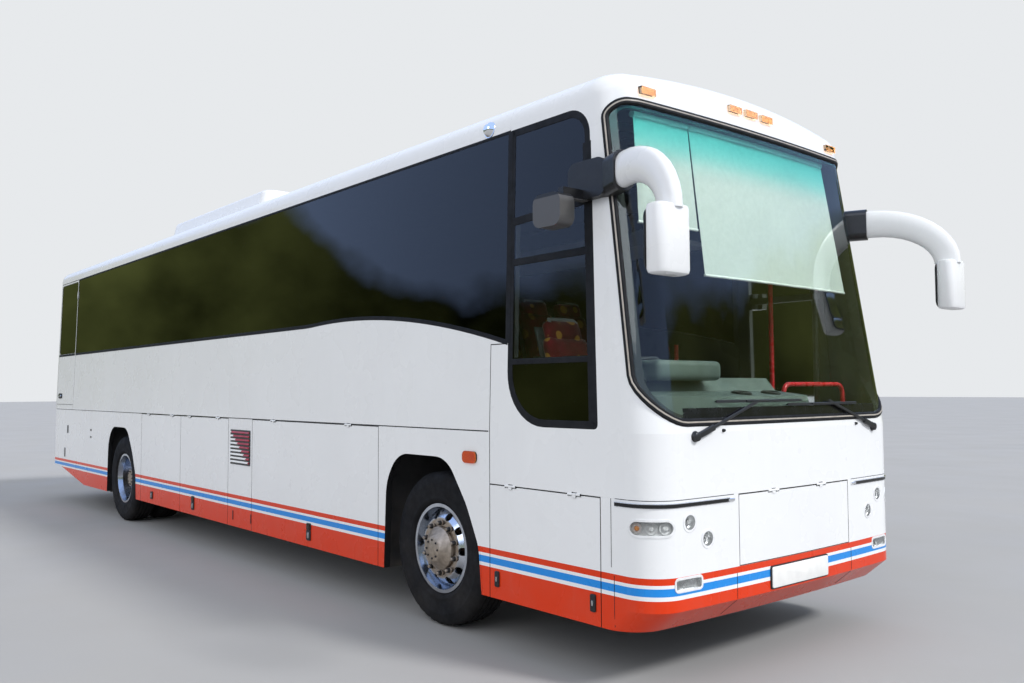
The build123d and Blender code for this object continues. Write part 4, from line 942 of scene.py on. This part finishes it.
latches = Shape("locker_latches", black, steel, body="locker_leaf")
for x in (4.546, 5.365):
    stuck(latches, -1, x, 0.43, 0.040, 0.095, 0.011, 0, 0.010, 0.004)
    stuck(latches, -1, x, 0.43, 0.012, 0.030, 0.014, 1, 0.004, 0.001)
latches.done()
# Door leaves: the place of each latch, and whether an amber reflector stands above it
leaf_latches = {"offside": [("a", -1.647, False), ("b", -0.406, True), ("c", 2.116, True)],
                "nearside": [("a", -1.17, True), ("b", 0.57, False), ("c", 2.306, True)]}
for word, side in (("offside", -1), ("nearside", 1)):
    for name, x, amber in leaf_latches[word]:
        pulls = Shape(f"{word}_{name}_pulls", black, steel, lens_amber, body=f"{word}_leaf_{name}")
        stuck(pulls, side, x, 0.405, 0.070, 0.085, 0.010, 0, 0.012, 0.004)
        stuck(pulls, side, x, 0.405, 0.030, 0.050, 0.013, 1, 0.008, 0.002)
        if amber:
            stuck(pulls, side, x, 0.474, 0.072, 0.056, 0.006, 0, 0.008, 0.002)
            stuck(pulls, side, x, 0.474, 0.060, 0.044, 0.012, 2, 0.006, 0.003, 0.004)
        pulls.done()
# Small catches of the fixed panels: place along X, height, width and tallness
catches = Shape("panel_catches", black)
for x, z, width, tall in ((0.602, 0.413, 0.014, 0.085), (1.002, 0.417, 0.014, 0.085), (-5.234, 1.044, 0.05, 0.11),
                          (-5.369, 0.707, 0.04, 0.13), (-4.084, 1.066, 0.05, 0.022), (-4.084, 0.972, 0.05, 0.022)):
    stuck(catches, -1, x, z, width, tall, 0.005, 0, 0.005, 0.002)
catches.done()

# Wheel arch lips: the coachwork's turned edge, with rounded corners
arch_line = [(-0.572, 0.33), (-0.545, 0.93), (-0.400, 1.14), (0.19, 1.14), (0.405, 0.85), (0.53, 0.60), (0.557, 0.33)]
arch_radii = [0, 0.35, 0.25, 0.25, 0.60, 0.30, 0]
lips = Shape("wheel_arch_lips", coachwork)
lip_wide, lip_deep, skirt_y, skirt_low = 0.010, 0.030, 1.25, 0.33
wider = [(p.x, max(skirt_low, p.y)) for p in inset([Vector(p) for p in arch_line], -lip_wide)]
for side in (-1, 1):
    for centre in (front_axle_x, rear_axle_x):
        inner = rounded(arch_line, arch_radii, 10)
        outer = rounded(wider, [0 if r == 0 else 0.05 for r in arch_radii], 10)
        rings = ((inner, skirt_y + 0.0015), (outer, skirt_y + 0.0012), (outer, skirt_y - 0.001),
                 (inner, skirt_y - lip_deep))
        verts = [Vector((centre + p.x, side * y, p.y)) for line, y in rings for p in line]
        count = len(inner)
        faces = [(k * count + i, k * count + i + 1, (k + 1) % 4 * count + i + 1, (k + 1) % 4 * count + i)
                 for k in range(4) for i in range(count - 1)]
        faces += [tuple(k * count for k in range(4)), tuple(k * count + count - 1 for k in (3, 2, 1, 0))]
        lips.add(verts, faces)
lips.done(30)


def louvre_blade(shape, frame, low, high, section, slot):
    """A louvre blade between two places across, through the section's foot, crest and back."""
    foot, crest, back = section
    verts = [(low, *foot), (high, *foot), (high, *crest), (low, *crest), (low, *back), (high, *back)]
    faces = [(0, 1, 2, 3), (3, 2, 5, 4), (0, 3, 4), (1, 5, 2), (0, 4, 5, 1)]
    shape.add([frame @ Vector(v) for v in verts], faces, slot)


louvre = Shape("side_louvre", grey_plastic, gloss_black, louvre_red, plate)
vent = facing(*flank(-1, 0.7525, 1.055))
wide, tall, slats = 0.425, 0.31, 9
louvre.slab(pill(wide + 0.016, tall + 0.016, 0.008, 3), (-0.001, 0.005), 0, 0.002, vent)
# The thin black sheet behind the blades is painted shade in the vent's slots.
louvre.slab(pill(wide, tall, 0.004, 3), (0.004, 0.0055), 1, 0, vent)
pitch = tall / slats
for i in range(slats):
    mid = tall / 2 - (i + 0.5) * pitch
    split = -wide / 2 + wide * (i + 0.5) / slats
    section = ((mid - pitch * 0.28, 0.004), (mid - pitch * 0.10, 0.017), (mid + pitch * 0.30, 0.006))
    for low, high, tone in ((-wide / 2 + 0.006, split - 0.003, 3), (split, wide / 2 - 0.006, 2)):
        if high - low > 0.01:
            louvre_blade(louvre, vent, low, high, section, tone)
louvre.done(smooth=20)

dome = Shape("roof_dome", chrome)
dome.lathe(facing(*flank(-1, 4.421, 3.245)), [(0, 0.040), (0.018, 0.038), (0.032, 0.029), (0.040, 0.014),
                                              (0.046, 0.004), (0.052, 0.003), (0.054, -0.004)])
dome.done()

# Entrance and emergency doors
entrance_trim = Shape("entrance_door_trim", rubber, black, steel, body="entrance_leaf")
pane_rear, pane_front, pane_rake = 4.655, 5.335, 0.05
for low_z, high_z in ((1.40, 3.03), (0.52, 1.13)):
    low_x, top_x = (pane_front - pane_rake * max(0, z - 1.0) for z in (low_z, high_z))
    pane_line = rounded([(pane_rear, low_z), (low_x, low_z), (top_x, high_z), (pane_rear, high_z)], [0.05] * 4, 6)
    trim(entrance_trim, nearside, pane_line, (0.026, -0.004, 0.004), 0.08, closed=True)
handle = facing(*flank(1, 4.70, 1.27))
entrance_trim.slab(pill(0.11, 0.05, 0.02), (-0.002, 0.012), 1, 0.004, handle)
entrance_trim.lathe(handle, [(0, 0.018), (0.012, 0.018), (0.014, 0.010), (0.014, 0.0)], 2, steps=20)
entrance_trim.done()
emergency_trim = Shape("emergency_door_trim", rubber, black, steel, body="emergency_leaf")
trim(emergency_trim, offside, ((-5.87, 2.115), (-5.03, 2.115)), (0.030, -0.004, 0.003), 0.1)
handle = facing(*flank(-1, -5.70, 1.52))
emergency_trim.slab(pill(0.19, 0.075, 0.03), (-0.002, 0.008), 1, 0.003, handle)
emergency_trim.slab(pill(0.14, 0.022, 0.010), (0.006, 0.022), 2, 0.005, handle)
emergency_trim.done()

# Mirrors: horn-shaped arms with their heads, and the glasses in dark surrounds
horns = Shape("mirror_horns", fitting_paint)
root_x, root_y, root_z, reach_x, reach_y = 5.452, 1.195, 2.745, 0.925, 0.38
bend_from, bend_run, bend_drop, thick_root, thick_end, horn_wide = 0.24, 0.47, 0.31, 0.19, 0.165, 0.096
head_x, head_y, head_low, head_high = 6.115, 1.49, 2.12, 2.455
for side in (-1, 1):
    out = Vector((reach_x, side * reach_y, 0)).normalized()
    across = out.cross(Vector((0, 0, 1)))
    root = Vector((root_x, side * root_y, root_z))
    places = [(0.12, 0, 0)] + [(bend_from + bend_run * sin(t), bend_drop * (cos(t) - 1), t)
                               for t in (radians(9 * k) for k in range(11))]
    verts = []
    section = pill(1, 1, 0.42, 6)
    for run, rise, turn in places:
        along = Vector((bend_run * cos(turn), -bend_drop * sin(turn), 0)).normalized()
        upward = out * -along.y + Vector((0, 0, along.x))
        thick = thick_root + (thick_end - thick_root) * turn / (pi / 2)
        centre = root + out * run + Vector((0, 0, rise))
        verts += [centre + across * p.x * horn_wide + upward * p.y * thick for p in section]
    horns.add(verts, stitched(len(places), len(section)))
    middle = Matrix.Translation((head_x, side * head_y, (head_low + head_high) / 2))
    half_high = (head_high - head_low) / 2
    for flip in (0, pi):
        horns.slab(pill(0.12, 0.235, 0.05), (0, half_high), 0, 0.022, middle @ Matrix.Rotation(flip, 4, "X"))
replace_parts(horns.done(30), "mirror_arms")
mirrors = Shape("mirror_glasses", mirror_glass, black)
for side in (-1, 1):
    face = facing(Vector((6.055, side * head_y, (head_low + head_high) / 2)), (-1, 0, 0))
    mirrors.slab(pill(0.205, 0.305, 0.045), (-0.004, 0.0035), 1, 0.002, face)
    for height, rise in ((0.195, 0.043), (0.078, -0.103)):
        mirrors.slab(pill(0.182, height, 0.030), (0.0, 0.005), 0, 0.001, face @ Matrix.Translation((0, rise, 0)))
wide_face = facing(Vector((5.14, -1.42, 2.565)), (-1, 0, 0))
mirrors.slab(pill(0.088, 0.070, 0.020), (-0.002, 0.003), 0, 0.001, wide_face)
mirrors.done()

# Wheels: tyres, nuts and hub covers
tyre_steps, tread_cut, valve_radius, valve_turn = 168, 0.0055, 0.254, 0.63
# Outer faces of the single and the twin wheels' discs, and how far the rear hub stands out of its disc
single_face_y, twin_face_y, drum_out = 1.158, 0.937, 0.203
# Washer, nut and stud end
wheel_nut = (([(0.021, 0.0), (0.021, 0.005), (0.018, 0.006)], 1, 20),
             ([(0.0165, 0.004), (0.0165, 0.024), (0.013, 0.027), (0.0105, 0.027)], 0, 6),
             ([(0.0105, 0.026), (0.0105, 0.034), (0.008, 0.037), (0, 0.037)], 1, 14))


def bolt_circle(shape, face, count, radius, height, parts, start=0.0):
    """Lathed parts, each a profile, slot and number of steps, at even turns about a wheel's axis."""
    for k in range(count):
        turn = 2 * pi * (k + start) / count
        spot = face @ Matrix.Translation((radius * cos(turn), radius * sin(turn), height))
        for profile, slot, steps in parts:
            shape.lathe(spot, profile, slot, steps)


# Name, side, place along X, places of its tyres across, and body
wheel_rows = [("front_left", 1, front_axle_x, [1.05], "wheel_front_left"),
              ("front_right", -1, front_axle_x, [1.05], "wheel_front_right"),
              ("rear_left", 1, rear_axle_x, [1.09, 0.76], "wheels_rear_left"),
              ("rear_right", -1, rear_axle_x, [1.09, 0.76], "wheels_rear_right")]
# Section of half a tyre as (radius, across), from the bead to the middle of the tread
half_tyre = [(0.2875, 0.1005), (0.3005, 0.1015), (0.3045, 0.110), (0.3125, 0.1245), (0.326, 0.1305), (0.331, 0.1335),
             (0.339, 0.1345), (0.343, 0.1330), (0.362, 0.1365), (0.395, 0.1392), (0.424, 0.1390), (0.428, 0.1398),
             (0.440, 0.1398), (0.444, 0.1378), (0.464, 0.1348), (0.486, 0.1265), (0.500, 0.1165), (0.508, 0.1080),
             (0.5125, 0.0960), (0.5140, 0.0700), (0.5030, 0.0670), (0.5030, 0.0590), (0.5145, 0.0560),
             (0.5150, 0.0270), (0.5030, 0.0240), (0.5030, 0.0150), (0.5150, 0.0120)]
tyre_line = half_tyre + [(r, -t) for r, t in reversed(half_tyre)]
# Rows of the tread that are cut into blocks
shoulder = [k for k, (r, t) in enumerate(tyre_line) if abs(t) > 0.0950 and r > 0.4999 and abs(t) < 0.12]
block_rows = [k for k, (r, t) in enumerate(tyre_line) if 0.5139 < r and abs(t) > 0.02]
for word, side, x, centres, body in wheel_rows:
    tyre = Shape(word + "_road_tyre", tyre_rubber, body=body)
    for y in centres:
        axle = facing(Vector((x, side * y, wheel_z)), (0, side, 0))
        base = len(tyre.verts)
        tyre.lathe(axle, tyre_line, steps=tyre_steps, closed=True)
        centre = axle.translation
        for k in shoulder + block_rows:
            for i in range(tyre_steps):
                if (i + (k % 2)) % 4 == 0:
                    vert = tyre.verts[base + k * tyre_steps + i]
                    spoke = Vector((vert.x - centre.x, 0, vert.z - centre.z))
                    tyre.verts[base + k * tyre_steps + i] = vert - spoke.normalized() * tread_cut
    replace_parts(tyre.done(50), word + ("_tyre" if len(centres) == 1 else "_tyres"))
    hub = Shape(word + "_wheel_fixings", nut_dark, hub_dust, black, body=body)
    single = len(centres) == 1
    face = facing(Vector((x, side * (single_face_y if single else twin_face_y), wheel_z)), (0, side, 0))
    bolt_circle(hub, face, 10, 0.1675, 0, wheel_nut, 0.5)
    if single:
        hub.lathe(face, [(0.1405, 0.0), (0.1435, 0.004), (0.1435, 0.020), (0.138, 0.0245), (0.101, 0.0445),
                         (0.083, 0.071), (0.078, 0.0745), (0, 0.076)], 1, steps=64)
        bolt = [(0.0075, 0), (0.0075, 0.011), (0.005, 0.013), (0, 0.013)]
        bolt_circle(hub, face, 8, 0.062, 0.070, ((bolt, 0, 6),))
    else:
        drum_cap = [(0.098, -0.02), (0.0995, -0.002), (0.094, 0.003), (0, 0.004)]
        hub.lathe(face @ Matrix.Translation((0, 0, drum_out)), drum_cap, 1, steps=48)
        bolt = [(0.008, 0), (0.008, 0.012), (0.005, 0.015), (0, 0.015)]
        bolt_circle(hub, face, 10, 0.080, drum_out, ((bolt, 0, 6),))
    valve = Matrix.Translation((valve_radius * cos(valve_turn), valve_radius * sin(valve_turn),
                                -0.045 if single else 0.060))
    hub.lathe(face @ valve, [(0.004, 0), (0.004, 0.030), (0.0055, 0.031), (0.0055, 0.042), (0, 0.043)], 2, steps=12)
    hub.done()

# Rear: lamp clusters, window rubber, engine door slats and latches
rear_bodies = Shape("rear_lamp_bodies", black, lamp_clear)
rear_lenses = Shape("rear_lamp_lenses", lens_red, lens_amber, lens_clear)
# Name, place across and up, width, height, corner radius, height of a cell, and the rise and slot of each cell
rear_table = [("cluster", 0.948, 1.030, 0.1294, 0.4394, 0.0297, 0.094,
               ((0.150, 1), (0.052, 0), (-0.047, 0), (-0.146, 2))),
              ("reverse", 1.0, 0.640, 0.1494, 0.0594, 0.0247, 0.050, ((0, 2),))]
for name, y, z, width, height, corner, cell_high, cells in rear_table:
    for side in (-1, 1):
        face = facing(Vector((lamp_rear_x, side * y, z)), (-1, 0, 0))
        seat = (rear_lamp_skin, face, dense(pill(width, height, corner, 8), 0.015))
        dish(rear_bodies, seat, [(1.0, 0.044), (1.0, 0.0005), (0.94, 0.0005), (0.94, 0.020)], 0)
        dish(rear_bodies, seat, [(1.0, 0.044), (0.5, 0.0445), (0, 0.0445)], 0)
        dish(rear_bodies, seat, [(0.94, 0.020), (0.5, 0.021), (0, 0.021)], 1)
        for rise, tone in cells:
            cell = (rear_lamp_skin, face @ Matrix.Translation((0, rise, 0)),
                    dense(pill(width - 0.012, cell_high, 0.018, 5), 0.02))
            dish(rear_lenses, cell, [(1.0, 0.016), (1.0, 0.002), (0.9, 0.0008), (0.45, 0.0004), (0, 0.0004)], tone)
            dish(rear_lenses, cell, [(1.0, 0.016), (0.5, 0.012), (0, 0.012)], tone)
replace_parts(rear_bodies.done(), "rear_lamps")
rear_lenses.done()

rear_line = [Vector((y, z + 2.64)) for y, z in pill(1.96, 0.90, 0.13, 8)]
rear_trim = Shape("rear_window_rubber", rubber)
trim(rear_trim, rear_face, inset(rear_line, 0.004), (0.038, -0.005, 0.007), 0.06, closed=True)
rear_trim.done()

engine_trim = Shape("engine_door_trim", black, gloss_black, steel, body="engine_leaf")
slat_half, slat_pitch, top_slat_z = 0.29, 0.036, 1.20
for y in (-0.40, 0.40):
    for k in range(9):
        slat = facing(rear(y, top_slat_z - slat_pitch * k)[0], (-1, 0, 0))
        engine_trim.slab(pill(2 * slat_half, 0.020, 0.009, 4), (-0.001, 0.0022), 1, 0, slat)
        louvre_blade(engine_trim, slat, -slat_half, slat_half, ((0.010, 0.001), (0.002, 0.012), (0.000, 0.008)), 0)
for y in (-0.70, 0.70):
    latch = facing(rear(y, 0.80)[0], (-1, 0, 0))
    engine_trim.slab(pill(0.060, 0.038, 0.012), (-0.002, 0.010), 0, 0.003, latch)
    engine_trim.lathe(latch, [(0, 0.014), (0.010, 0.014), (0.012, 0.008), (0.012, 0)], 2, steps=18)
engine_trim.done(smooth=25)

# Roof: hatch seals and pod grilles
roof_trim = Shape("roof_trim", rubber, black)
for x in (-4.26, 2.54):
    hits = [roof(x + p.x, p.y)[0] for p in dense(pill(0.78, 0.72, 0.07, 6), 0.06)]
    roof_trim.sweep(hits, [Vector((0, 0, 1))] * len(hits), strip(0.020, -0.004, 0.006), 0, closed=True)
    roof_trim.slab(pill(0.16, 0.03, 0.012), (-0.001, 0.012), 1, 0.004, Matrix.Translation((x, 0.27, 3.492)))
roof_trim.done()
pod_low, pod_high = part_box("aircon_pod")
pod_trim = Shape("aircon_grilles", black, gloss_black)
pod_skin = skin(["aircon_pod"])
for x in (pod_low[0] + 0.62, (pod_low[0] + pod_high[0]) / 2, pod_high[0] - 0.62):
    for y in (-0.42, 0.42):
        hit, out = cast_on(pod_skin, (x, y, far_z), (0, 0, -1))
        fan = facing(hit, out, (1, 0, 0))
        pod_trim.lathe(fan, [(0.235, -0.002), (0.235, 0.003), (0.222, 0.004), (0.215, 0.002), (0.215, 0.0005),
                             (0, 0.0005)], 1, steps=48)
        for radius in (0.05, 0.09, 0.13, 0.17, 0.205):
            turns = [2 * pi * k / 40 for k in range(40)]
            ring = [fan @ Vector((radius * cos(t), radius * sin(t), 0.0015)) for t in turns]
            pod_trim.tube(ring, 0.0025, 0, sides=6, closed=True)
        for k in range(6):
            turn = pi * k / 6
            spoke = [fan @ Vector((s * 0.222 * cos(turn), s * 0.222 * sin(turn), 0.001)) for s in (-1, 1)]
            pod_trim.tube(spoke, 0.003, 0, sides=6)
pod_trim.done()


# Seats
def rounded_block(size, radius, cuts):
    """A block with rounded edges and even small faces, as vertices and faces."""
    form = bmesh.new()
    bmesh.ops.create_cube(form, size=1)
    bmesh.ops.subdivide_edges(form, edges=form.edges[:], cuts=cuts, use_grid_fill=True)
    half = Vector(size) / 2
    for v in form.verts:
        p = Vector([c * s for c, s in zip(v.co, size)])
        core = Vector([max(-h + radius, min(h - radius, c)) for c, h in zip(p, half)])
        off = p - core
        v.co = core + off.normalized() * radius if off.length > 1e-9 else p
    form.verts.index_update()
    verts = [v.co.copy() for v in form.verts]
    faces = [[v.index for v in f.verts] for f in form.faces]
    form.free()
    return verts, faces


def plumped(size, radius, cuts, cap):
    """A seat pad swollen by its filling: cloth under pressure, with the movement of each point capped."""
    verts, faces = rounded_block(size, radius, cuts)
    mesh = bpy.data.meshes.new("pad")
    mesh.from_pydata(verts, [], faces)
    pad_form = bpy.data.objects.new("pad", mesh)
    scene.collection.objects.link(pad_form)
    cloth = pad_form.modifiers.new("cloth", "CLOTH")
    cloth.settings.quality = 6
    cloth.settings.mass = 0.3
    cloth.settings.tension_stiffness = 12
    cloth.settings.compression_stiffness = 12
    cloth.settings.use_pressure = True
    cloth.settings.uniform_pressure_force = 4
    cloth.settings.effector_weights.gravity = 0
    cloth.collision_settings.use_collision = False
    for moment in range(1, 19):
        scene.frame_set(moment)
    swollen = pad_form.evaluated_get(bpy.context.evaluated_depsgraph_get()).to_mesh()
    result = []
    for start, vertex in zip(verts, swollen.vertices):
        move = vertex.co - start
        result.append(start + move * min(1, cap / max(move.length, 1e-9)))
    bpy.data.objects.remove(pad_form)
    scene.frame_set(1)
    return result, faces


cushion_pad = plumped((0.405, 0.385, 0.095), 0.035, 9, 0.012)
back_pad = plumped((0.085, 0.375, 0.60), 0.035, 9, 0.010)
head_pad = plumped((0.080, 0.30, 0.15), 0.035, 6, 0.008)


def seat_at(x, y, base, cushions, backs, shells, frames):
    """One seat: cushion, back and head pad in cloth, a moulded shell behind and a steel frame below."""
    origin = Matrix.Translation((x, y, base))
    lean = Matrix.Rotation(-0.305, 4, "Y")
    tilt = Matrix.Rotation(-0.045, 4, "Y")
    for part, place, turn, (verts, faces) in ((cushions, (0.205, 0, 0.380), tilt, cushion_pad),
                                              (backs, (-0.070, 0, 0.705), lean, back_pad),
                                              (backs, (-0.172, 0, 1.025), lean, head_pad)):
        part.add([origin @ Matrix.Translation(place) @ turn @ v for v in verts], faces)
    shell_frame = origin @ Matrix.Translation((-0.128, 0, 0.720)) @ lean
    shells.box((-0.010, -0.190, -0.37), (0.006, 0.190, 0.355), 0, 0.006, shell_frame)
    shells.box((-0.018, -0.150, -0.25), (-0.008, 0.150, -0.05), 1, 0.004, shell_frame)
    frames.box((0.02, -0.185, 0.296), (0.395, 0.185, 0.322), 0, 0.006, origin)
    for dy in (-0.13, 0.13):
        for dx in (0.29, 0.05):
            frames.tube([origin @ Vector((dx, dy, dz)) for dz in (0.004, 0.30)], 0.016, 0, 8)
    handle = ((-0.16, -0.12, 1.085), (-0.185, -0.11, 1.108), (-0.195, 0, 1.112), (-0.185, 0.11, 1.108),
              (-0.16, 0.12, 1.085))
    frames.tube([origin @ Vector(p) for p in handle], 0.011, 1, 8)


def seat_shapes(*names):
    """Empty shapes for the cushions, backs, shells and frames of some seats."""
    materials = ((seat_cloth,), (seat_cloth,), (seat_shell, grey_plastic), (iron, rail_grey))
    return [Shape(name, *kinds) for name, kinds in zip(names, materials)]


shapes = cushions, backs, shells, frames = seat_shapes("seat_cushions", "seat_backs", "seat_shells", "seat_frames")
seat_base, seat_pitch = 1.2603, 0.78
for i in range(11):
    row_x = seat_pitch * i
    for y in (-0.912, -0.498, 0.498, 0.912):
        seat_at(-4.70 + row_x, y, seat_base, *shapes)
    for low_y, high_y in ((-0.326, -0.296), (0.296, 0.326)):
        frames.box((-4.66 + row_x, low_y, seat_base + 0.56), (-4.40 + row_x, high_y, seat_base + 0.60), 1, 0.008)
for k in range(5):
    seat_at(-5.50, -0.90 + 0.45 * k, seat_base, *shapes)
for piece in (cushions.done(60, "seat_moquette"),
              backs.done(60, "seat_moquette"), shells.done(), frames.done()):
    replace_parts(piece, "passenger_seats")
shapes = cushions, backs, shells, frames = seat_shapes("driver_seat_cushion", "driver_seat_back", "driver_seat_shell",
                                                       "driver_seat_frame")
seat_at(4.75, -0.72, 0.9303, *shapes)
for piece in (cushions.done(60, "driver_moquette"),
              backs.done(60, "driver_moquette"), shells.done(), frames.done()):
    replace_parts(piece, "driver_seat")

# Cab fittings: instrument binnacle with two dials, two round vents, and a bright round fitting on a stalk
cab_trim = Shape("dashboard_fittings", dash_green, black, chrome)
dash_skin = skin(["dashboard"])
cab_trim.box((5.42, -0.99, 1.63), (5.62, -0.42, 1.745), 0, 0.035, segments=4)
radius = 0.055
for y in (-0.82, -0.60):
    cab_trim.lathe(facing(Vector((5.421, y, 1.69)), (-1, 0, 0.25)),
                   [(radius, -0.004), (radius, 0.008), (radius * 0.9, 0.010), (radius * 0.86, 0.004), (0, 0.004)], 1)
for y in (-0.30, 0.0):
    hit, out = cast_on(dash_skin, Vector((5.66, y, 3)), Vector((0, 0, -1)))
    cab_trim.lathe(facing(hit, out, (1, 0, 0)),
                   [(0.060, -0.004), (0.060, 0.010), (0.050, 0.016), (0.044, 0.008), (0, 0.010)], 1)
hit, out = cast_on(dash_skin, Vector((5.55, -1.05, 3)), Vector((0, 0, -1)))
cab_trim.lathe(facing(hit + Vector((0, 0, 0.08)), (1, 0, 0.1)),
               [(0.048, -0.02), (0.050, 0.0), (0.044, 0.006), (0, 0.004)], 2)
cab_trim.tube([hit, hit + Vector((0, 0, 0.075))], 0.012, 1)
cab_trim.done()

steps = Shape("entrance_step_nosings", step_yellow)
for y, z in ((0.893, 0.667), (0.618, 0.932)):
    steps.box((4.60, y - 0.006, z - 0.022), (5.40, y + 0.008, z + 0.004), 0, 0.003)
steps.done()

# Reflections see open sky above a dark line of trees
backdrop, sky_colour, open_sky = (0.80, 0.82, 0.84), (0.93, 0.97, 1.04), (0.56, 0.78, 1.30)
woods = ((0.015, 0.02, 0.006), (0.26, 0.30, 0.09))
# Height of the trees' line, how ragged it is, and how far it rises toward the kerb and beyond a place at the tail
tree_top, ragged, kerb_rise, tail_rise, tail_from = 0.055, 0.22, 0.14, 0.7, -0.84
sky_strength, seen_through = 0.79, 0.93
# Lamps: name, the way to it, strength and the angle it fills in degrees
lamps = [("key", (1.0, 0.35, 0.95), 2.35, 10), ("fill", (0.35, -1.0, 0.7), 0.65, 40)]


def studio():
    """Pale floor and backdrop, a soft key ahead of the nearside and even sky light."""
    mesh = bpy.data.meshes.new("studio_floor")
    reach = 150
    mesh.from_pydata([(-reach, -reach, 0), (reach, -reach, 0), (reach, reach, 0), (-reach, reach, 0)], [],
                     [(0, 1, 2, 3)])
    mesh.materials.append(floor_mat)
    ground = bpy.data.objects.new("studio_floor", mesh)
    scene.collection.objects.link(ground)
    world = bpy.data.worlds.new("studio_sky")
    scene.world = world
    world.use_nodes = True
    tree = world.node_tree
    sky = fill(tree.nodes["Background"], Color=sky_colour, Strength=sky_strength)
    pale = made(tree, "Background", Color=backdrop)
    way = made(tree, "TexCoord").outputs["Generated"]
    x, y, z = made(tree, "SeparateXYZ", Vector=way).outputs
    leaves = noise(tree, 7, 7, way)
    edge = maths(tree, "ADD", z, product(tree, leaves, -ragged))
    edge = maths(tree, "ADD", edge, product(tree, maths(tree, "MAXIMUM", y, 0), -kerb_rise))
    behind = maths(tree, "MAXIMUM", maths(tree, "SUBTRACT", tail_from, x), 0)
    edge = maths(tree, "ADD", edge, product(tree, behind, -tail_rise))
    wood = blended(tree, ranged(tree, leaves, 0.35, 0.65, 0, 1), woods[0], woods[1])
    tone = blended(tree, ranged(tree, edge, tree_top - 0.02, tree_top + 0.02, 0, 1), wood, open_sky)
    rays = made(tree, "LightPath").outputs
    through = product(tree, rays["Is Transmission Ray"], -seen_through)
    mirrored = made(tree, "Background", Color=tone, Strength=maths(tree, "ADD", 1, through))
    plain = switched(tree, rays["Is Camera Ray"], sky.outputs[0], pale.outputs[0])
    by_glass = maths(tree, "MAXIMUM", rays["Is Glossy Ray"], rays["Is Transmission Ray"])
    fill(tree.nodes["World Output"], Surface=switched(tree, by_glass, plain, mirrored.outputs[0]))
    for name, aim, strength, angle in lamps:
        light = bpy.data.lights.new(name, "SUN")
        light.energy = strength
        light.angle = radians(angle)
        lamp = bpy.data.objects.new(name, light)
        lamp.rotation_euler = Vector(aim).to_track_quat("Z", "Y").to_euler()
        scene.collection.objects.link(lamp)


studio()

scene.view_settings.view_transform = "Standard"
